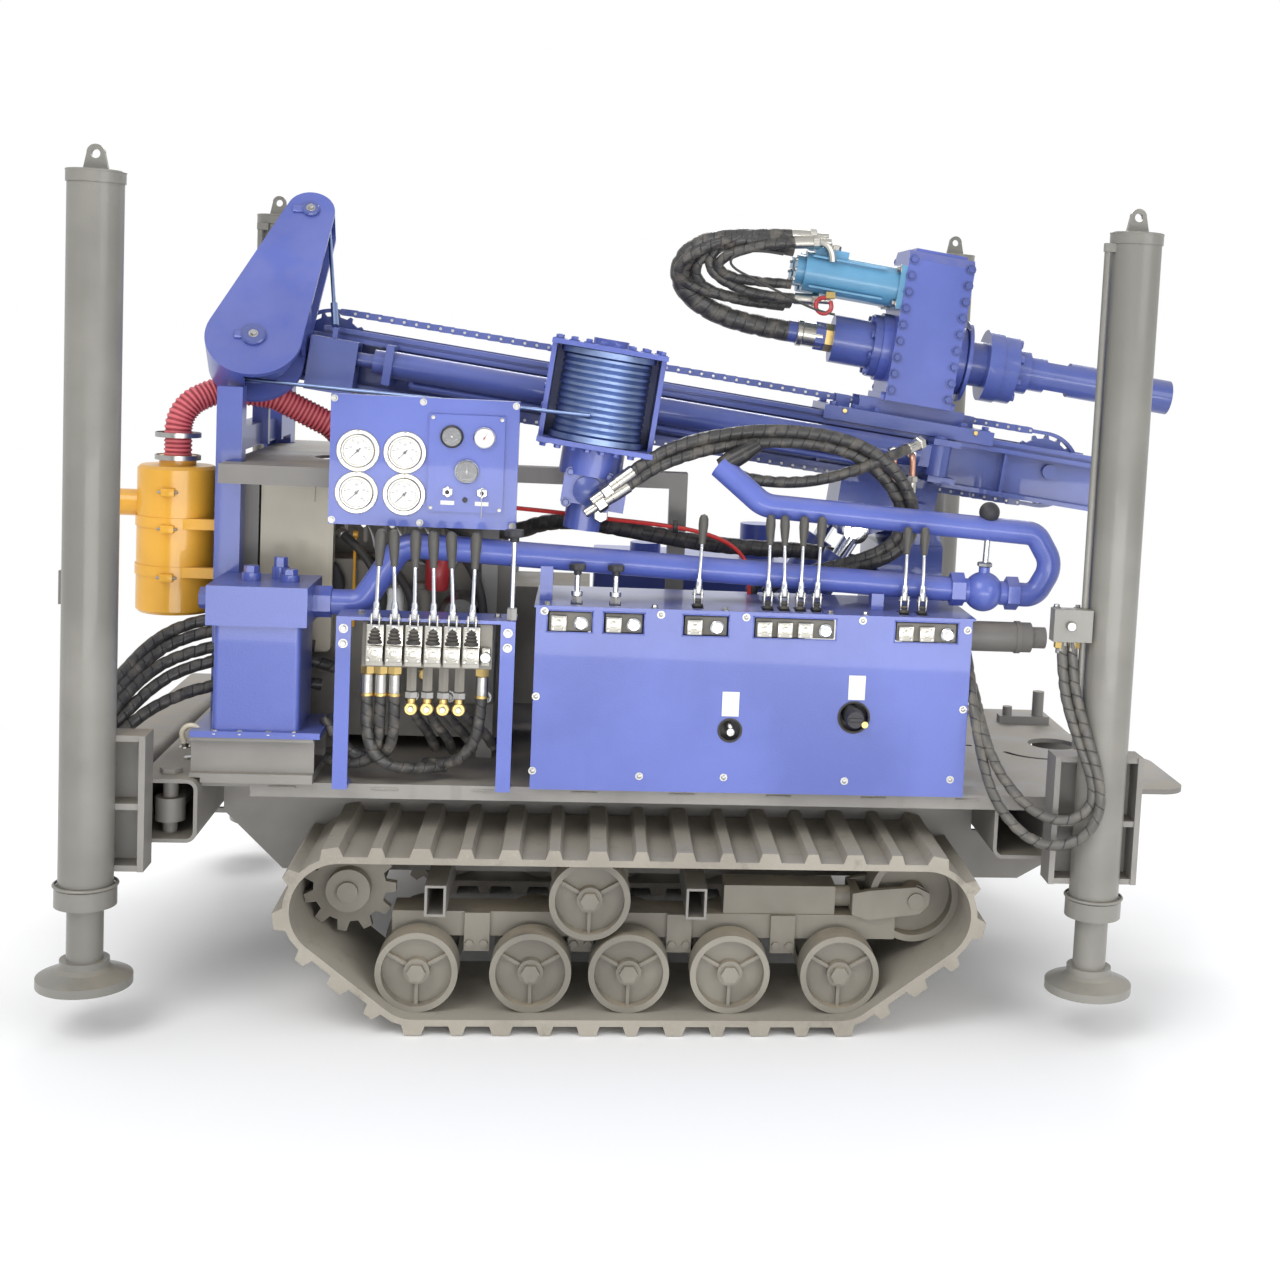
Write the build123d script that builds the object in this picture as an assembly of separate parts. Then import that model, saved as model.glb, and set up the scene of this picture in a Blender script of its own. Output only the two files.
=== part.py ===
from build123d import *
import math
import os

os.makedirs("parts", exist_ok=True)

# Frame
# X runs along the machine, sprocket end at minus, drilling end at plus.
# Y runs across it, controls at minus. Z is up, zero is the ground.
# Every length is in millimetres, every angle in degrees.

# Common sizes
weld = 1.0
touch = 0.3
plate = 10.0
thin = 5.0
run_gap = 2.0
slide_gap = 0.4

# Tracks
belt_out = 740.0
belt_width = 400.0
belt_carcass = 16.0
lug_height = 22.0
lug_pitch_wanted = 100.0
wheel_end_r = 112.0
sprocket_x = -615.0
idler_x = 758.0
roller_r = 96.0
roller_xs = (-440.0, -175.0, 57.0, 299.0, 565.0)
carrier_x = -42.0
wheel_width = 74.0
wheel_inset = 46.0
rim_t = 14.0
web_t = 10.0
rib_count = 3
rib_t = 8.0
hub_r = 30.0
axle_r = 18.0
cap_r = 22.0
belt_total = belt_carcass + lug_height
roller_z = belt_total + roller_r
end_z = belt_total + roller_r + 161.0
top_inner_z = end_z + wheel_end_r
carrier_z = top_inner_z - roller_r
belt_mid = belt_out - belt_width / 2.0
belt_in = belt_out - belt_width
track_beam_half = 50.0
track_beam_z = (190.0, 250.0)
track_beam_x = (-509.0, 712.0)
tension_box_x = (285.0, 560.0)
tension_box_h = 70.0
tooth_count = 11
tooth_depth = 24.0

# Chassis
rail_y = 320.0
rail_t = 14.0
rail_bottom = 270.0
rail_x = (-958.0, 1262.0)
rail_rise = 150.0
deck_top = 560.0
deck_t = 12.0
deck_half = 600.0
deck_x = (-844.0, 1110.0)
deck_tail_x = 1330.0
deck_tail_half = 470.0
strip_h = 35.0
strip_t = 8.0
far_strip_end = 948.0
cross_tube_xs = (-406.0, 215.0)
cross_tube_w = 50.0
cross_tube_h = 76.0
cross_tube_wall = 6.0
cross_plate_xs = (-700.0, -150.0, 250.0, 780.0)
cross_tube_end = 636.0
drill_hole_r = 70.0
tongue_end = 1580.0
tongue_half = 200.0
tongue_t = 14.0
tongue_drop = 89.0
tongue_corner = 70.0

# Outriggers: tube size, stations along X, levels
tube = 150.0
tube_wall = 9.0
tube_corner = 26.0
tube_end = 640.0
rear_far_near_end = 588.0
front_near_x = -1180.0
front_far_x = front_near_x + tube
rear_near_x = 1175.0
rear_far_x = rear_near_x - tube
front_tube_top = 572.0
rear_tube_top = deck_top - deck_t
leg_y = 720.0
leg_r = 60.0
leg_bore = 50.0
leg_bottom = 300.0
leg_top = 1945.0
collar_r = 68.0
collar_h = 42.0
bracket_z = (375.0, 690.0)
front_bracket_x = (-58.0, 125.0)
rear_bracket_x = (-115.0, 105.0)
bracket_t = 14.0
rod_r = 40.0
rod_top = 1560.0
foot_z = 114.0
foot_r = 105.0
foot_t = 20.0
ball_r = 40.0
lock_size = (94.0, 42.0)
lock_z = (977.0, 1054.0)
# Lock block corner and pipe centre, each as (x, y) from the leg's centre
rear_lock_at = ((-152.0, 2.0), (-72.0, 14.0))
front_lock_at = ((-84.0, -99.0), (-44.0, -58.0))

# Mast pivot and slope
pivot_x = 800.0
pivot_z = 1190.0
mast_slope = 7.0
pivot_pin_r = 22.0
post_x = (690.0, 865.0)
post_half = 160.0
post_top = 1125.0
ear_r = 48.0
ear_t = 20.0
ear_y = 140.0

# Mast, in its own line: u along it, w square to it, both from the pivot
beam_u = (-1674.0, 495.0)
beam_w = (101.0, 230.0)
flange_half = 125.0
web_half = 80.0
web_thick = 8.0
flange_t = 12.0
drive_w = 188.0
drive_r = 98.0
upper_drive_u = -1600.0
lower_drive_u = 340.0
chain_half = 8.0
chain_slot = 20.0
feed_y = -178.0
feed_w = 180.0
feed_r = 35.0
feed_u = (-1433.0, -42.0)
end_box_u = (-1628.0, -1510.0)
rope_anchor_y = -194.0
frame_u = (-215.0, 42.0)
frame_plate_y = 104.0
eye_u = -178.0
eye_w = -47.0
tilt_y = 215.0
tilt_base_x = 380.0
tilt_base_z = 760.0
tilt_barrel_r = 38.0
tilt_rod_r = 22.0
tilt_pin_r = 18.0
tilt_tube_r = 28.0
tilt_tube_end = tilt_y - 28.0

# Drill head
drill_w = 444.0
sled_u = (-304.0, 162.0)
sled_w = (250.0, 268.0)
sled_half = 136.0
rail_head_w = (238.0, sled_w[0] - slide_gap)
rail_head_y = (82.0, 118.0)
rail_neck_y = (90.0, 110.0)
case_u = (-146.0, 34.0)
sled_web = 38.0
motor_offset = 164.0
motor_w = drill_w + motor_offset
case_w = (sled_w[1] + sled_web, motor_w + 103.0)
case_half = 122.0
motor_r = 54.0
motor_len = 268.0
motor_y = 62.0
flange_r = 111.0
coupling_r = 98.0
spindle_r = 48.0
sub_r = 47.0
sub_end = 660.0
thread_r = 36.0
thread_len = 90.0
relief_r = 39.0
relief_len = 12.0
bore_r = 22.0
swivel_r = 65.0
union_r = 30.0

# Winch
winch_u = (-1030.0, -746.0)
winch_w = (68.0, 322.0)
winch_y = (-480.0, -228.0)
coil_r = 110.0
drum_y = -363.0
drum_lip = 8.0
rope_r = 5.0

# Crown arm: the two sheave centres as (u, y, w)
arm_low = (-1751.0, -250.0, 162.0)
arm_high = (-1700.0, 0.0, 498.0)
arm_low_r = 115.0
arm_high_r = 60.0
arm_thick = 120.0
arm_plate = 12.0
sheave_low_r = 92.0
sheave_high_r = 46.0
sheave_t = 24.0
groove = 9.4
rope_seat = 7.0

# Upper works on the deck
hood_x = (-956.0, -300.0)
hood_y = (-480.0, 480.0)
hood_top = 1296.0
hood_bar = 46.0
hood_leg_x = (-930.0, -342.0)
hood_leg_y = 268.0
engine_x = (-850.0, -270.0)
engine_half = 255.0
engine_z = (600.0, 1170.0)
filter_x = -490.0
filter_z = (905.0, 985.0)
filter_r = 24.0
cover_x = (-886.0, -710.0)
cover_z = (819.0, 1262.0)
cover_out = 45.0
gantry_x = (-980.0, -920.0)
gantry_y = (333.0, 388.0)
gantry_top = 1476.0
gantry_beam_z = (1322.0, 1378.0)
rest_x = (-945.0, -905.0)
rest_y = 103.0
tank_x = (-934.0, -737.0)
tank_y = (-605.0, -408.0)
tank_base_z = 668.0
tank_body_top = 932.0
tank_head_top = 1025.0
tank_head_grow = 16.0
cleaner_x = -1098.0
cleaner_y = -250.0
cleaner_r = 94.0
cleaner_z = (905.0, 1271.0)
panel_x = (-688.0, -252.0)
panel_z = (1172.0, 1478.0)
panel_y = -560.0
panel_depth = 40.0
stand_x = (-650.0, -240.0)
stand_top = 968.0
stand_y = -655.0
box_x = (-195.0, 858.0)
box_y = (-620.0, -275.0)
box_top = 1003.0
pipe_r = 31.0


def span_box(x, y, z):
    size = (x[1] - x[0], y[1] - y[0], z[1] - z[0])
    return Pos((x[0] + x[1]) / 2, (y[0] + y[1]) / 2, (z[0] + z[1]) / 2) * Box(*size)


def rod_x(x0, x1, y, z, r):
    return Pos((x0 + x1) / 2, y, z) * Rot(0, 90, 0) * Cylinder(r, abs(x1 - x0))


def rod_y(y0, y1, x, z, r):
    return Pos(x, (y0 + y1) / 2, z) * Rot(90, 0, 0) * Cylinder(r, abs(y1 - y0))


def rod_z(z0, z1, x, y, r):
    return Pos(x, y, (z0 + z1) / 2) * Cylinder(r, abs(z1 - z0))


def mirrored(shape):
    return mirror(shape, about=Plane.XZ)


rest_top = (
    pivot_z + beam_w[0] / math.cos(math.radians(mast_slope))
    + (pivot_x - rest_x[1]) * math.tan(math.radians(mast_slope)) - 0.6
)


def on_mast(shape):
    return Location((pivot_x, 0, pivot_z), (0, mast_slope, 0)) * shape


def side_plate(points, y0, y1):
    face = make_face(Polyline(*points, close=True))
    flat = Plane(origin=(0, y1, 0), x_dir=(1, 0, 0), z_dir=(0, -1, 0))
    return extrude(flat * face, amount=y1 - y0)


def pipe_run(points, bends, r, bore=0.0):
    path = FilletPolyline(*points, radius=bends) if len(points) > 2 else Polyline(*points)
    start = path % 0
    ring = Plane(origin=path @ 0, z_dir=start)
    outer = sweep(ring * Circle(r), path=path)
    if bore > 0:
        outer = outer - sweep(ring * Circle(bore), path=path)
    return outer


def tangent_loop(circles, grow):
    runs = []
    count = len(circles)
    for i in range(count):
        (x1, z1, r1), (x2, z2, r2) = circles[i], circles[(i + 1) % count]
        r1, r2 = r1 + grow, r2 + grow
        dx, dz = x2 - x1, z2 - z1
        length = math.hypot(dx, dz)
        dx, dz = dx / length, dz / length
        lean = (r1 - r2) / length
        flat = math.sqrt(1 - lean * lean)
        nx, nz = dx * lean + dz * flat, dz * lean - dx * flat
        runs.append(((x1 + r1 * nx, z1 + r1 * nz), (x2 + r2 * nx, z2 + r2 * nz)))
    return runs


belt_circles = (
    (roller_xs[0], roller_z, roller_r),
    (roller_xs[-1], roller_z, roller_r),
    (idler_x, end_z, wheel_end_r),
    (sprocket_x, end_z, wheel_end_r),
)


def loop_walk(circles, grow):
    pieces = []
    runs = tangent_loop(circles, grow)
    count = len(circles)
    for i in range(count):
        (a, b) = runs[i]
        pieces.append(("line", a, b, math.dist(a, b)))
        cx, cz, r = circles[(i + 1) % count]
        r = r + grow
        nxt = runs[(i + 1) % count][0]
        a0 = math.atan2(b[1] - cz, b[0] - cx)
        a1 = math.atan2(nxt[1] - cz, nxt[0] - cx)
        while a1 < a0:
            a1 += 2 * math.pi
        pieces.append(("arc", (cx, cz, r), (a0, a1), r * (a1 - a0)))
    return pieces


def walk_at(pieces, s):
    total = sum(p[3] for p in pieces)
    s = s % total
    for kind, p, q, length in pieces:
        if s <= length:
            t = s / length
            if kind == "line":
                dx, dz = (q[0] - p[0]) / length, (q[1] - p[1]) / length
                return (p[0] + dx * s, p[1] + dz * s), (dz, -dx)
            ang = q[0] + (q[1] - q[0]) * t
            n = (math.cos(ang), math.sin(ang))
            return (p[0] + p[2] * n[0], p[1] + p[2] * n[1]), n
        s -= length
    raise ValueError("beyond the loop")


def loop_face(circles, grow):
    edges = []
    for kind, p, q, length in loop_walk(circles, grow):
        if kind == "line":
            edges.append(Line(p, q))
        else:
            mid = (q[0] + q[1]) / 2
            pts = [(p[0] + p[2] * math.cos(a), p[1] + p[2] * math.sin(a)) for a in (q[0], mid, q[1])]
            edges.append(ThreePointArc(*pts))
    return make_face(edges)


def shoe_points():
    pieces = loop_walk(belt_circles, belt_carcass)
    total = sum(p[3] for p in pieces)
    count = int(round(total / lug_pitch_wanted / 2)) * 2
    pitch = total / count
    pts = []
    for i in range(count):
        foot = 54.0 if i % 2 == 0 else 40.0
        tip = foot - 16.0
        s = i * pitch
        for ds, h in ((-foot / 2, 0), (-tip / 2, lug_height), (tip / 2, lug_height), (foot / 2, 0)):
            (x, z), n = walk_at(pieces, s + ds)
            if h:
                (cx, cz), nc = walk_at(pieces, s)
                x, z = cx + nc[0] * h + (-nc[1]) * ds, cz + nc[1] * h + nc[0] * ds
            pts.append((x, z))
        (x, z), n = walk_at(pieces, s + pitch / 2)
        pts.append((x, z))
    return pts


def track_belt():
    outer = make_face(Polyline(*shoe_points(), close=True))
    ring = outer - loop_face(belt_circles, touch)
    flat = Plane(origin=(0, -belt_in, 0), x_dir=(1, 0, 0), z_dir=(0, -1, 0))
    return extrude(flat * ring, amount=belt_width)


def wheel(x, z, r, y_out, width):
    ring = Cylinder(r, width) - Cylinder(r - rim_t, width)
    body = ring + Cylinder(r - rim_t + weld, web_t) + Cylinder(hub_r, width * 0.8)
    for k in range(rib_count):
        rib = Pos((hub_r + r - rim_t) / 2, 0, 0) * Box(r - rim_t - hub_r + 2 * weld, rib_t, width * 0.55)
        body = body + Rot(0, 0, 360 * (k + 0.25) / rib_count) * rib
    return Pos(x, y_out - width / 2, z) * Rot(90, 0, 0) * body


def hex_cap(x, y, z, r, depth):
    return Pos(x, y, z) * Rot(90, 0, 0) * extrude(RegularPolygon(r, 6), amount=depth)


def undercarriage():
    outer_y = belt_out - wheel_inset
    inner_y = belt_in + wheel_inset + wheel_width
    beam = span_box(track_beam_x, (belt_mid - track_beam_half, belt_mid + track_beam_half), track_beam_z)
    parts = [beam]
    for x in roller_xs + (carrier_x,):
        z = carrier_z if x == carrier_x else roller_z
        parts.append(wheel(x, z, roller_r, outer_y, wheel_width))
        parts.append(wheel(x, z, roller_r, inner_y, wheel_width))
        parts.append(rod_y(inner_y - wheel_width * 0.9, outer_y - wheel_width * 0.1, x, z, axle_r))
        parts.append(hex_cap(x, outer_y - wheel_width * 0.1, z, cap_r, -14.0))
        lo, hi = (track_beam_z[1] - weld, z) if z > track_beam_z[1] else (z, track_beam_z[0] + weld)
        parts.append(span_box((x - 34, x + 34), (belt_mid - 40, belt_mid + 40), (lo, hi)))
        parts.append(rod_y(belt_mid - 40, belt_mid + 40, x, z, 34))
    for a, b in zip(roller_xs[:-1], roller_xs[1:]):
        x = (a + b) / 2
        y1 = belt_mid + track_beam_half
        parts.append(span_box((x - 30, x + 30), (y1 - weld, y1 + 12), (track_beam_z[0] - 34, track_beam_z[1])))
        for dx in (-17, 17):
            parts.append(hex_cap(x + dx, y1 + 12 - weld, track_beam_z[0] - 14, 10, -9))
    box_z = (track_beam_z[1] - weld, track_beam_z[1] + tension_box_h)
    parts.append(span_box(tension_box_x, (belt_mid - 44, belt_mid + 44), box_z))
    ram_z = (box_z[0] + box_z[1]) / 2
    parts.append(rod_x(tension_box_x[1] - weld, tension_box_x[1] + 50, belt_mid, ram_z, 26))
    fork_x0 = tension_box_x[1] + 40
    for side in (-1, 1):
        y = belt_mid + side * 62
        pts = ((fork_x0, ram_z - 26), (fork_x0 + 40, ram_z - 40), (idler_x + 10, end_z - 34),
               (idler_x + 34, end_z - 10), (idler_x + 34, end_z + 18), (idler_x, end_z + 34),
               (fork_x0 + 40, ram_z + 34), (fork_x0, ram_z + 26))
        parts.append(side_plate(pts, y - 9, y + 9))
    parts.append(span_box((fork_x0, fork_x0 + 22), (belt_mid - 70, belt_mid + 70), (ram_z - 26, ram_z + 26)))
    idler = Cylinder(wheel_end_r, 90) - Cylinder(wheel_end_r - 16, 90) + Cylinder(wheel_end_r - 15, 14)
    parts.append(Pos(idler_x, belt_mid, end_z) * Rot(90, 0, 0) * (idler + Cylinder(34, 106)))
    parts.append(rod_y(belt_mid - 78, belt_mid + 78, idler_x, end_z, 20))
    pts = []
    tip_r = wheel_end_r - 2
    for i in range(tooth_count):
        for k, r in ((-0.30, tip_r - tooth_depth), (-0.17, tip_r), (0.17, tip_r), (0.30, tip_r - tooth_depth)):
            a = 2 * math.pi * (i + k) / tooth_count
            pts.append((r * math.cos(a), r * math.sin(a)))
    cog = extrude(make_face(Polyline(*pts, close=True)), amount=22)
    parts.append(Pos(sprocket_x, belt_mid + 11, end_z) * Rot(90, 0, 0) * cog)
    parts.append(rod_y(belt_mid - 10, belt_mid + 46, sprocket_x, end_z, 52))
    parts.append(rod_y(belt_mid + 44, belt_mid + 58, sprocket_x, end_z, 24))
    parts.append(rod_y(rail_y + rail_t / 2, belt_mid, sprocket_x, end_z, 74))
    solid = parts[0]
    solid = solid.fuse(*parts[1:])
    return solid


def hollow_tube(x, top, y0, y1):
    outer = Rectangle(tube, tube)
    inner = Rectangle(tube - 2 * tube_wall, tube - 2 * tube_wall)
    outer = fillet(outer.vertices(), tube_corner)
    inner = fillet(inner.vertices(), tube_corner - tube_wall)
    flat = Plane(origin=(x, y1, top - tube / 2), x_dir=(1, 0, 0), z_dir=(0, -1, 0))
    return extrude(flat * (outer - inner), amount=y1 - y0)


def envelope(solid):
    """A tube's outer shape, with its bore filled, for the cut it needs in a plate."""
    box = solid.bounding_box()
    return span_box((box.min.X, box.max.X), (box.min.Y, box.max.Y), (box.min.Z, box.max.Z))


def remains(part, cutters):
    """The solids that are left of a part once others are cut from it."""
    pieces = part.solids()
    for cutter in cutters:
        pieces = [piece for whole in pieces for piece in (whole - cutter).solids()]
    return pieces


def seated(parts):
    """A weldment of separate plates and tubes: each ends where an earlier one passes."""
    solids = []
    for part in parts:
        solids.extend(remains(part, solids))
    return solids


rear_near_inner = -92.0
tube_table = (
    # x, top, y start, y end
    (front_near_x, front_tube_top, -tube_end, tube_end),
    (front_far_x, front_tube_top, -tube_end, tube_end),
    (rear_near_x, rear_tube_top, -tube_end, rear_near_inner),
    (rear_far_x, rear_tube_top, -rear_far_near_end, tube_end),
)


def leg_tubes():
    """The four outrigger tubes, with the lifting pin in the far front one."""
    tubes = [hollow_tube(*row) for row in tube_table]
    pin_y = -tube_end + 70
    middle = front_tube_top - tube / 2
    pin = rod_z(front_tube_top - tube, front_tube_top + 10, front_far_x, pin_y, 17)
    head = Pos(front_far_x, pin_y, front_tube_top - weld) * extrude(RegularPolygon(26, 6), amount=12)
    eye = rod_y(pin_y - 2, pin_y + 150, front_far_x, middle - 10, 24)
    boss = rod_z(middle - 38, middle + 18, front_far_x, pin_y, 34)
    tubes[1] = tubes[1].fuse(pin, head, eye, boss)
    return seated(tubes)


def tongue():
    """The plate with the drill hole, on two ribs behind the near rear tube."""
    low = deck_top - tongue_drop
    plate = span_box((rear_near_x, tongue_end), (-tongue_half, tongue_half), (low, low + tongue_t))
    plate = fillet(plate.edges().filter_by(Axis.Z).sort_by(Axis.X)[-2:], tongue_corner)
    plate = plate - rod_z(low - 1, low + tongue_t + 1, pivot_x + drill_w, 0, drill_hole_r)
    near_end = span_box((rear_near_x, rear_near_x + tube / 2 + 5), (-tongue_half - 5, rear_near_inner - weld),
                        (low - 1, low + tongue_t + 1))
    ribs = [
        span_box((rear_near_x + 60, tongue_end - 150), (y - 6, y + 6), (low + weld, deck_top - deck_t))
        for y in (rear_near_inner + 7, tongue_half - 12)
    ]
    return (plate - near_end).fuse(*ribs)


def cross_tubes():
    """The two tubes that carry the frame on the track beams."""
    base = track_beam_z[1]
    wall = cross_tube_wall
    tubes = []
    for x in cross_tube_xs:
        half = cross_tube_w / 2
        along = (-cross_tube_end, cross_tube_end)
        bar = span_box((x - half, x + half), along, (base, base + cross_tube_h))
        bore = span_box((x - half + wall, x + half - wall), along, (base + wall, base + cross_tube_h - wall))
        tubes.append(bar - bore)
    return tubes


def main_frame(passing):
    """Two rails with cross plates between them, cut where the tubes and the tongue pass."""
    x0, x1 = rail_x
    under = deck_top - deck_t
    outline = (
        (x0, under), (x0, rail_bottom + rail_rise), (x0 + rail_rise, rail_bottom),
        (x1 - 1.2 * rail_rise, rail_bottom), (x1, rail_bottom + rail_rise * 0.7), (x1, under),
    )
    parts = [side_plate(outline, side * rail_y - rail_t / 2, side * rail_y + rail_t / 2) for side in (-1, 1)]
    for x in cross_plate_xs:
        parts.append(span_box((x - 6, x + 6), (-rail_y, rail_y), (rail_bottom + 60, under)))
    parts.append(span_box((x0, x0 + 12), (-rail_y, rail_y), (front_tube_top - tube, under)))
    link = (front_tube_top - tube - 12, front_tube_top - tube)
    for side in (-1, 1):
        y = (side * rail_y - 7, side * rail_y + 7)
        parts.append(span_box((front_near_x - tube / 2, x0 + rail_rise), y, link))
        parts.append(span_box((rear_near_x + tube / 2 - weld, rail_x[1]), y, (rail_bottom + 120, under)))
    return Compound(seated([*passing, *parts])[len(passing):])


def deck():
    plate_pts = (
        (deck_x[0], -deck_half), (deck_x[1], -deck_half), (deck_x[1], -deck_tail_half),
        (deck_tail_x, -deck_tail_half), (deck_tail_x, deck_tail_half), (deck_x[1], deck_tail_half),
        (deck_x[1], deck_half), (deck_x[0], deck_half), (deck_x[0], deck_tail_half - 40),
        (front_far_x + tube / 2, deck_tail_half - 40), (front_far_x + tube / 2, -deck_half),
    )
    top = extrude(Plane.XY.offset(deck_top - deck_t) * make_face(Polyline(*plate_pts, close=True)), amount=deck_t)
    top = top - rod_z(500, 600, pivot_x + drill_w, 0, drill_hole_r)
    for cx, cy, r, a0, a1 in ((1010, 60, 105, 200, 262), (1200, -60, 130, 205, 262)):
        slot = SlotArc(CenterArc((cx, cy), r, a0, a1 - a0), 16)
        top = top - extrude(Plane.XY.offset(deck_top - 40) * slot, amount=80)
    parts = [top]
    z = (deck_top - strip_h, deck_top - deck_t + weld)
    for side in (-1, 1):
        y = (side * deck_half - (strip_t if side > 0 else 0), side * deck_half + (strip_t if side < 0 else 0))
        end = rear_near_x - tube / 2 - weld if side < 0 else far_strip_end
        parts.append(span_box((deck_x[0], end), y, z))
    parts.append(span_box((deck_tail_x - strip_t, deck_tail_x), (-deck_tail_half, -tongue_half - 10), z))
    parts.append(span_box((deck_tail_x - strip_t, deck_tail_x), (tongue_half + 10, deck_tail_half), z))
    bar = span_box((1150, 1300), (262, 302), (deck_top - weld, deck_top + 22))
    parts.append(bar)
    parts.append(rod_z(deck_top, deck_top + 95, 1268, 282, 17))
    parts.append(rod_z(deck_top, deck_top + 48, 1176, 282, 14))
    base_y = tilt_y
    for side in (-1, 1):
        for dy in (-26, 26):
            pts = ((tilt_base_x - 70, deck_top - weld), (tilt_base_x - 34, tilt_base_z + 10),
                   (tilt_base_x, tilt_base_z + 34), (tilt_base_x + 34, tilt_base_z + 10),
                   (tilt_base_x + 90, deck_top - weld))
            y = side * base_y + dy
            parts.append(side_plate(pts, y - 6, y + 6))
        parts.append(rod_y(side * base_y - 36, side * base_y + 36, tilt_base_x, tilt_base_z, tilt_pin_r))
    return parts[0].fuse(*parts[1:])


def pivot_post():
    outer = span_box(post_x, (-post_half, post_half), (deck_top, post_top))
    inner = span_box((post_x[0] + plate, post_x[1] - plate), (-post_half + plate, post_half - plate), (deck_top - 1, post_top - plate))
    window = span_box((post_x[0] + 40, post_x[1] - 40), (-post_half - 1, post_half + 1), (deck_top + 120, post_top - 160))
    parts = [outer - inner - window]
    parts.append(span_box((post_x[0] - 50, post_x[1] + 45), (-post_half - 35, post_half + 35), (deck_top, deck_top + 14)))
    for side in (-1, 1):
        y0 = side * ear_y - ear_t / 2
        pts = ((pivot_x - 75, post_top - weld), (pivot_x - ear_r, pivot_z), (pivot_x + ear_r, pivot_z),
               (post_x[1], post_top - weld))
        ear = side_plate(pts, y0, y0 + ear_t) + rod_y(y0, y0 + ear_t, pivot_x, pivot_z, ear_r)
        parts.append(ear)
        gusset = ((post_x[0], post_top - 220), (post_x[0] - 110, deck_top + 14 - weld), (post_x[0] + 5, deck_top + 14 - weld))
        y = side * (post_half - 30)
        parts.append(side_plate(gusset, y - 6, y + 6))
    parts.append(span_box((post_x[0] - 112, post_x[0] - 40), (-post_half - 35, post_half + 35), (deck_top, deck_top + 14)))
    body = parts[0].fuse(*parts[1:])
    return body - rod_y(-ear_y - 60, ear_y + 60, pivot_x, pivot_z, pivot_pin_r + touch)


def engine():
    x0, x1 = engine_x
    z0, z1 = engine_z
    parts = [span_box((x0 + 60, x1), (-engine_half, engine_half), (z0, z1 - 120))]
    parts.append(span_box((x0 + 90, x1 - 40), (-engine_half * 0.5, engine_half * 0.5), (z1 - 121, z1)))
    parts.append(span_box((x1 - weld, x1 + 200), (-150, 150), (z0 + 70, z1 - 190)))
    parts.append(rod_x(x0 + 40, x0 + 61, 0, z0 + 300, 70))
    for x in (x0 + 110, x1 - 70):
        for side in (-1, 1):
            y = side * (engine_half - 50)
            parts.append(span_box((x - 35, x + 35), (y - 25, y + 25), (deck_top, z0 + weld)))
    filter_y = -engine_half - filter_r - 2
    parts.append(rod_z(filter_z[0], filter_z[1], filter_x, filter_y, filter_r))
    parts.append(rod_z(filter_z[1] - weld, filter_z[1] + 14, filter_x, filter_y, filter_r * 0.8))
    parts.append(rod_y(filter_y, -engine_half + weld, filter_x, filter_z[1] - 16, 14))
    return parts[0].fuse(*parts[1:])


def engine_cover():
    x0, x1 = cover_x
    z0, z1 = cover_z
    shell = span_box(cover_x, (-engine_half - cover_out, -engine_half - 9), (z0, z1))
    shell = fillet(shell.edges().filter_by(Axis.Y), 14)
    step = span_box((x0 + 8, x1 - 46), (-engine_half - cover_out - 8, -engine_half - cover_out + weld), (z1 - 66, z1 - 14))
    seat = span_box((engine_x[0] + 70, x1 - 10), (-engine_half - 10, -engine_half), (z0 + 30, engine_z[1] - 130))
    return shell.fuse(step, seat)


def engine_hood():
    x0, x1 = hood_x
    y0, y1 = hood_y
    b = hood_bar
    top = span_box((x0, x1), (y0, y1), (hood_top - 8, hood_top))
    for cx, cy, r in ((-700, -120, 85), (-700, 160, 55), (-460, 150, 55)):
        top = top - rod_z(hood_top - 20, hood_top + 20, cx, cy, r)
    for side in (-1, 1):
        ya, yb = sorted((side * (gantry_y[0] - 6), side * (gantry_y[1] + 6)))
        top = top - span_box((x0 - 1, gantry_x[1] + 6), (ya, yb), (hood_top - 60, hood_top + 1))
    parts = [top]
    low = hood_top - b
    parts.append(span_box((x0, x1), (y0, y0 + 8), (low, hood_top - 7)))
    parts.append(span_box((x0, x1), (y1 - 8, y1), (low, hood_top - 7)))
    parts.append(span_box((x0, x0 + 8), (-gantry_y[0] + 6, gantry_y[0] - 6), (low, hood_top - 7)))
    parts.append(span_box((x1 - 8, x1), (y0, y1), (low, hood_top - 7)))
    for x in hood_leg_x:
        for y in (-hood_leg_y - 40, hood_leg_y):
            post = span_box((x, x + 40), (y, y + 40), (deck_top, hood_top - 7))
            parts.append(post - span_box((x + 6, x + 41), (y + 6, y + 41), (deck_top - 1, hood_top - 8)))
    parts.append(span_box((x1 - 9, 176), (-132, -72), (hood_top - b, hood_top - 4)))
    parts.append(span_box((130, 176), (-132, -72), (deck_top, hood_top - b + weld)))
    return parts[0].fuse(*parts[1:])


def radiator():
    core = span_box((-938, -872), (-235, 235), (deck_top + 50, 1235))
    frame = span_box((-948, -862), (-262, 262), (deck_top, 1250)) - span_box((-949, -861), (-232, 232), (deck_top + 54, 1230))
    guard = span_box((-949, -943), (-262, 262), (deck_top + 40, 1240))
    for i in range(9):
        z = deck_top + 92 + i * 70
        guard = guard - span_box((-955, -935), (-225, 225), (z, z + 54))
    return frame + core + guard


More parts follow.
